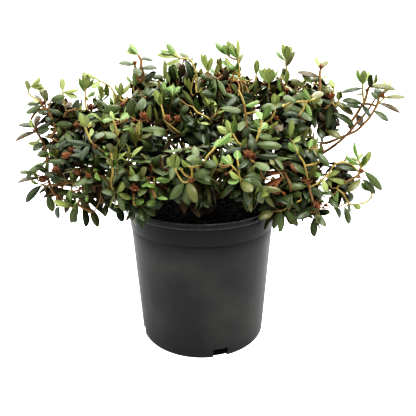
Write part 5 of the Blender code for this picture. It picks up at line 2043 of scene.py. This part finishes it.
def build_seed_heads():
    """Clusters of dry rust-brown capsules, and the small buds at the other twig ends."""
    settings = bpy.context.scene.rhododendron_plant
    chance = random.Random(5)
    capsules, buds = [], []
    for head in crown().heads:
        across, beside = square_to(head.axis)
        for number in range(settings.capsules_per_head):
            angle = number * GOLDEN_ANGLE + chance.uniform(-0.3, 0.3)
            lean = math.radians(6 + 46 * number / settings.capsules_per_head)
            around = across * math.cos(angle) + beside * math.sin(angle)
            axis = (head.axis * math.cos(lean) + around * math.sin(lean)).normalized()
            length = settings.capsule_length * head.size * chance.uniform(0.75, 1.15)
            width = settings.capsule_radius * head.size * chance.uniform(0.8, 1.2)
            capsules.append((head.place + axis * 0.001, axis, (width, width, length)))
    for bud in crown().buds:
        buds.append((bud.place, bud.axis, (0.0012 * bud.size, 0.0012 * bud.size, 0.0045 * bud.size)))
    blank = capsule_mesh()
    rust = bark_finish("rust", settings.seed_head_colour, rough=0.5)
    keep(capsule_piece("seed_heads", capsules, blank, rust))
    scales = bark_finish("bud_scales", settings.bud_colour, rough=0.3)
    keep(capsule_piece("buds", buds, blank, scales))
    bpy.data.objects.remove(blank)


# Settings

def setting(kind, **limits):
    """A maker of settings of one kind, from their name, description and default."""
    return lambda name, description, default: kind(
        name=name, description=description, default=default, **limits
    )


length = setting(FloatProperty, min=0.0, unit="LENGTH", precision=4)
colour = setting(FloatVectorProperty, size=3, min=0.0, max=1.0, subtype="COLOR")
share = setting(FloatProperty, min=0.0, max=1.0, subtype="FACTOR")
angle = setting(FloatProperty, subtype="ANGLE", unit="ROTATION")
power = setting(FloatProperty, min=0.0, unit="POWER")
amount = setting(FloatProperty, min=0.0)
whole = setting(IntProperty, min=3)


class PotSettings(bpy.types.PropertyGroup):
    lip_roll: length("Lip roll", "Radius of the lip's rolled edge", 0.0019)
    segments: whole("Segments", "Faces round the pot", 144)
    plastic_colour: colour("Plastic", "Colour of the plastic", (0.016, 0.017, 0.017))
    # The band's colour is a painted dark reflection, darker and bluer than the plastic.
    band_dark_reflection_colour: colour("Band", "Colour of its clean upper part", (0.006, 0.0065, 0.009))


class MulchSettings(bpy.types.PropertyGroup):
    chip_density: amount("Chips", "Chips to a square metre", 42000.0)
    chip_smallest: length("Smallest chip", "Length of the smallest chips", 0.0022)
    chip_largest: length("Largest chip", "Length of the largest chips", 0.0105)
    fibre_count: whole("Fibres", "Straw fibres on the mulch", 90)
    mulch_colour: colour("Mulch", "Colour of the bed", (0.004, 0.0035, 0.003))
    chip_colour: colour("Chips", "Colour of the chips", (0.008, 0.006, 0.0045))
    straw_colour: colour("Straw", "Colour of the fibres", (0.16, 0.125, 0.080))


class PlantSettings(bpy.types.PropertyGroup):
    old_leaf_length: length("Old leaf length", "Length of last year's leaves", 0.0345)
    old_leaf_width: length("Old leaf width", "Width of last year's leaves", 0.0112)
    young_leaf_length: length("Young leaf length", "Length of this year's leaves", 0.0255)
    young_leaf_width: length("Young leaf width", "Width of this year's leaves", 0.0088)
    whorl_leaves: whole("Leaves in a whorl", "Old leaves at a twig's end", 6)
    fine_twigs: whole("Fine twigs", "Finer twigs to a mass of mean reach", 32)
    shoot_share: share("Shoots", "Share of whorls with shoots", 0.58)
    seed_head_share: share("Seed heads", "Share of whorls with a seed head", 0.09)
    capsules_per_head: whole("Capsules", "Capsules in a seed head", 11)
    capsule_length: length("Capsule length", "Length of a capsule", 0.0090)
    capsule_radius: length("Capsule radius", "Radius of a capsule", 0.0019)
    deep_colour: colour("Deep green", "Darkest old leaves", (0.030, 0.043, 0.018))
    dark_colour: colour("Dark green", "Dark old leaves", (0.049, 0.067, 0.024))
    mid_colour: colour("Mid green", "Middling old leaves", (0.076, 0.099, 0.036))
    olive_colour: colour("Olive", "Olive old leaves", (0.118, 0.118, 0.045))
    bronze_colour: colour("Bronze", "Bronzed old leaves", (0.078, 0.052, 0.029))
    dead_colour: colour("Dead", "Dead leaves", (0.26, 0.12, 0.052))
    light_colour: colour("Light green", "Lightest young leaves", (0.195, 0.230, 0.083))
    green_colour: colour("Fresh green", "Greenest young leaves", (0.115, 0.180, 0.055))
    yellow_colour: colour("Yellow-green", "Yellowest young leaves", (0.240, 0.260, 0.090))
    old_underside_colour: colour("Old underside", "Underside of old leaves", (0.12, 0.085, 0.050))
    young_underside_colour: colour("Young underside", "Underside of young leaves", (0.30, 0.30, 0.12))
    old_midrib_colour: colour("Old midrib", "Midrib of old leaves", (0.11, 0.15, 0.060))
    young_midrib_colour: colour("Young midrib", "Midrib of young leaves", (0.31, 0.35, 0.145))
    # Painted shade: the trunk is coloured darker than the boughs for the shadow that it stands in.
    trunk_shade_colour: colour("Old bark", "Trunk", (0.060, 0.038, 0.024))
    bark_colour: colour("Bark", "Boughs", (0.160, 0.092, 0.045))
    twig_colour: colour("Twig bark", "Twigs", (0.24, 0.15, 0.068))
    shoot_colour: colour("Shoots", "This year's shoots", (0.36, 0.29, 0.105))
    seed_head_colour: colour("Seed heads", "Dry seed heads", (0.215, 0.100, 0.050))
    bud_colour: colour("Buds", "Bud scales", (0.16, 0.12, 0.045))


class StageSettings(bpy.types.PropertyGroup):
    camera_distance: length("Camera distance", "From the pot's axis", -SIGHT.y)
    camera_height: length("Camera height", "Above the floor", SIGHT.z)
    camera_pitch: angle("Camera pitch", "Downward tilt", CAMERA_PITCH)
    camera_yaw: angle("Camera yaw", "Turn to +X", CAMERA_YAW)
    camera_roll: angle("Camera roll", "Roll about the view", CAMERA_ROLL)
    lens: amount("Lens", "Focal length in mm on a 36 mm sensor", LENS)
    floor_half_width: length("Floor", "Half of the floor's width", 12.0)
    floor_colour: colour("Floor", "Colour of the floor", (0.45, 0.45, 0.45))
    world_colour: colour("World", "Colour of the surroundings", (1.0, 1.0, 1.0))
    world_top: amount("Light from above", "Strength overhead", 3.1)
    world_side: amount("Light from the sides", "Strength at the horizon", 0.35)
    world_front: share("Light from the front", "Share of that strength on the camera's side", 0.25)
    floor_glow: amount("Floor glow", "The floor's own light", 0.75)
    key_power: power("Key light", "Front right softbox", 32.0)
    fill_power: power("Fill light", "Left softbox", 5.5)
    back_power: power("Back light", "Rear softbox", 12.0)


# Operators and panel

class BuildPot(bpy.types.Operator):
    """Build the nursery pot"""

    bl_idname = "rhododendron.build_pot"
    bl_label = "Pot"

    def execute(self, context):
        build_pot()
        return {"FINISHED"}


class BuildMulch(bpy.types.Operator):
    """Build the bark mulch with its chips and fibres"""

    bl_idname = "rhododendron.build_mulch"
    bl_label = "Mulch"

    def execute(self, context):
        build_mulch()
        return {"FINISHED"}


class BuildLimbs(bpy.types.Operator):
    """Build the trunk and the boughs"""

    bl_idname = "rhododendron.build_limbs"
    bl_label = "Trunk and boughs"

    def execute(self, context):
        build_limbs()
        return {"FINISHED"}


class BuildTwigs(bpy.types.Operator):
    """Build the twigs and the young shoots"""

    bl_idname = "rhododendron.build_twigs"
    bl_label = "Twigs and shoots"

    def execute(self, context):
        build_twigs()
        return {"FINISHED"}


class BuildLeaves(bpy.types.Operator):
    """Build the old and the young leaves"""

    bl_idname = "rhododendron.build_leaves"
    bl_label = "Leaves"

    def execute(self, context):
        build_leaves()
        return {"FINISHED"}


class BuildSeedHeads(bpy.types.Operator):
    """Build the seed heads and the buds"""

    bl_idname = "rhododendron.build_seed_heads"
    bl_label = "Seed heads and buds"

    def execute(self, context):
        build_seed_heads()
        return {"FINISHED"}


class BuildStage(bpy.types.Operator):
    """Set the floor, the lights and the camera"""

    bl_idname = "rhododendron.build_stage"
    bl_label = "Stage"

    def execute(self, context):
        build_stage()
        return {"FINISHED"}


OPERATORS = (BuildPot, BuildMulch, BuildLimbs, BuildTwigs, BuildLeaves, BuildSeedHeads, BuildStage)


class RhododendronPanel(bpy.types.Panel):
    """Lists the operators in the 3D view's sidebar"""

    bl_idname = "VIEW3D_PT_rhododendron"
    bl_label = "Rhododendron"
    bl_space_type = "VIEW_3D"
    bl_region_type = "UI"
    bl_category = "Rhododendron"

    def draw(self, context):
        for operator in OPERATORS:
            self.layout.operator(operator.bl_idname)


SETTINGS = (
    ("rhododendron_pot", PotSettings),
    ("rhododendron_mulch", MulchSettings),
    ("rhododendron_plant", PlantSettings),
    ("rhododendron_stage", StageSettings),
)


def register():
    for name, settings in SETTINGS:
        bpy.utils.register_class(settings)
        setattr(bpy.types.Scene, name, PointerProperty(type=settings))
    for operator in OPERATORS:
        bpy.utils.register_class(operator)
    bpy.utils.register_class(RhododendronPanel)


def unregister():
    bpy.utils.unregister_class(RhododendronPanel)
    for operator in reversed(OPERATORS):
        bpy.utils.unregister_class(operator)
    for name, settings in reversed(SETTINGS):
        delattr(bpy.types.Scene, name)
        bpy.utils.unregister_class(settings)


def main():
    register()
    bpy.ops.rhododendron.build_pot()
    bpy.ops.rhododendron.build_mulch()
    bpy.ops.rhododendron.build_limbs()
    bpy.ops.rhododendron.build_twigs()
    bpy.ops.rhododendron.build_leaves()
    bpy.ops.rhododendron.build_seed_heads()
    bpy.ops.rhododendron.build_stage()


if __name__ == "__main__":
    main()
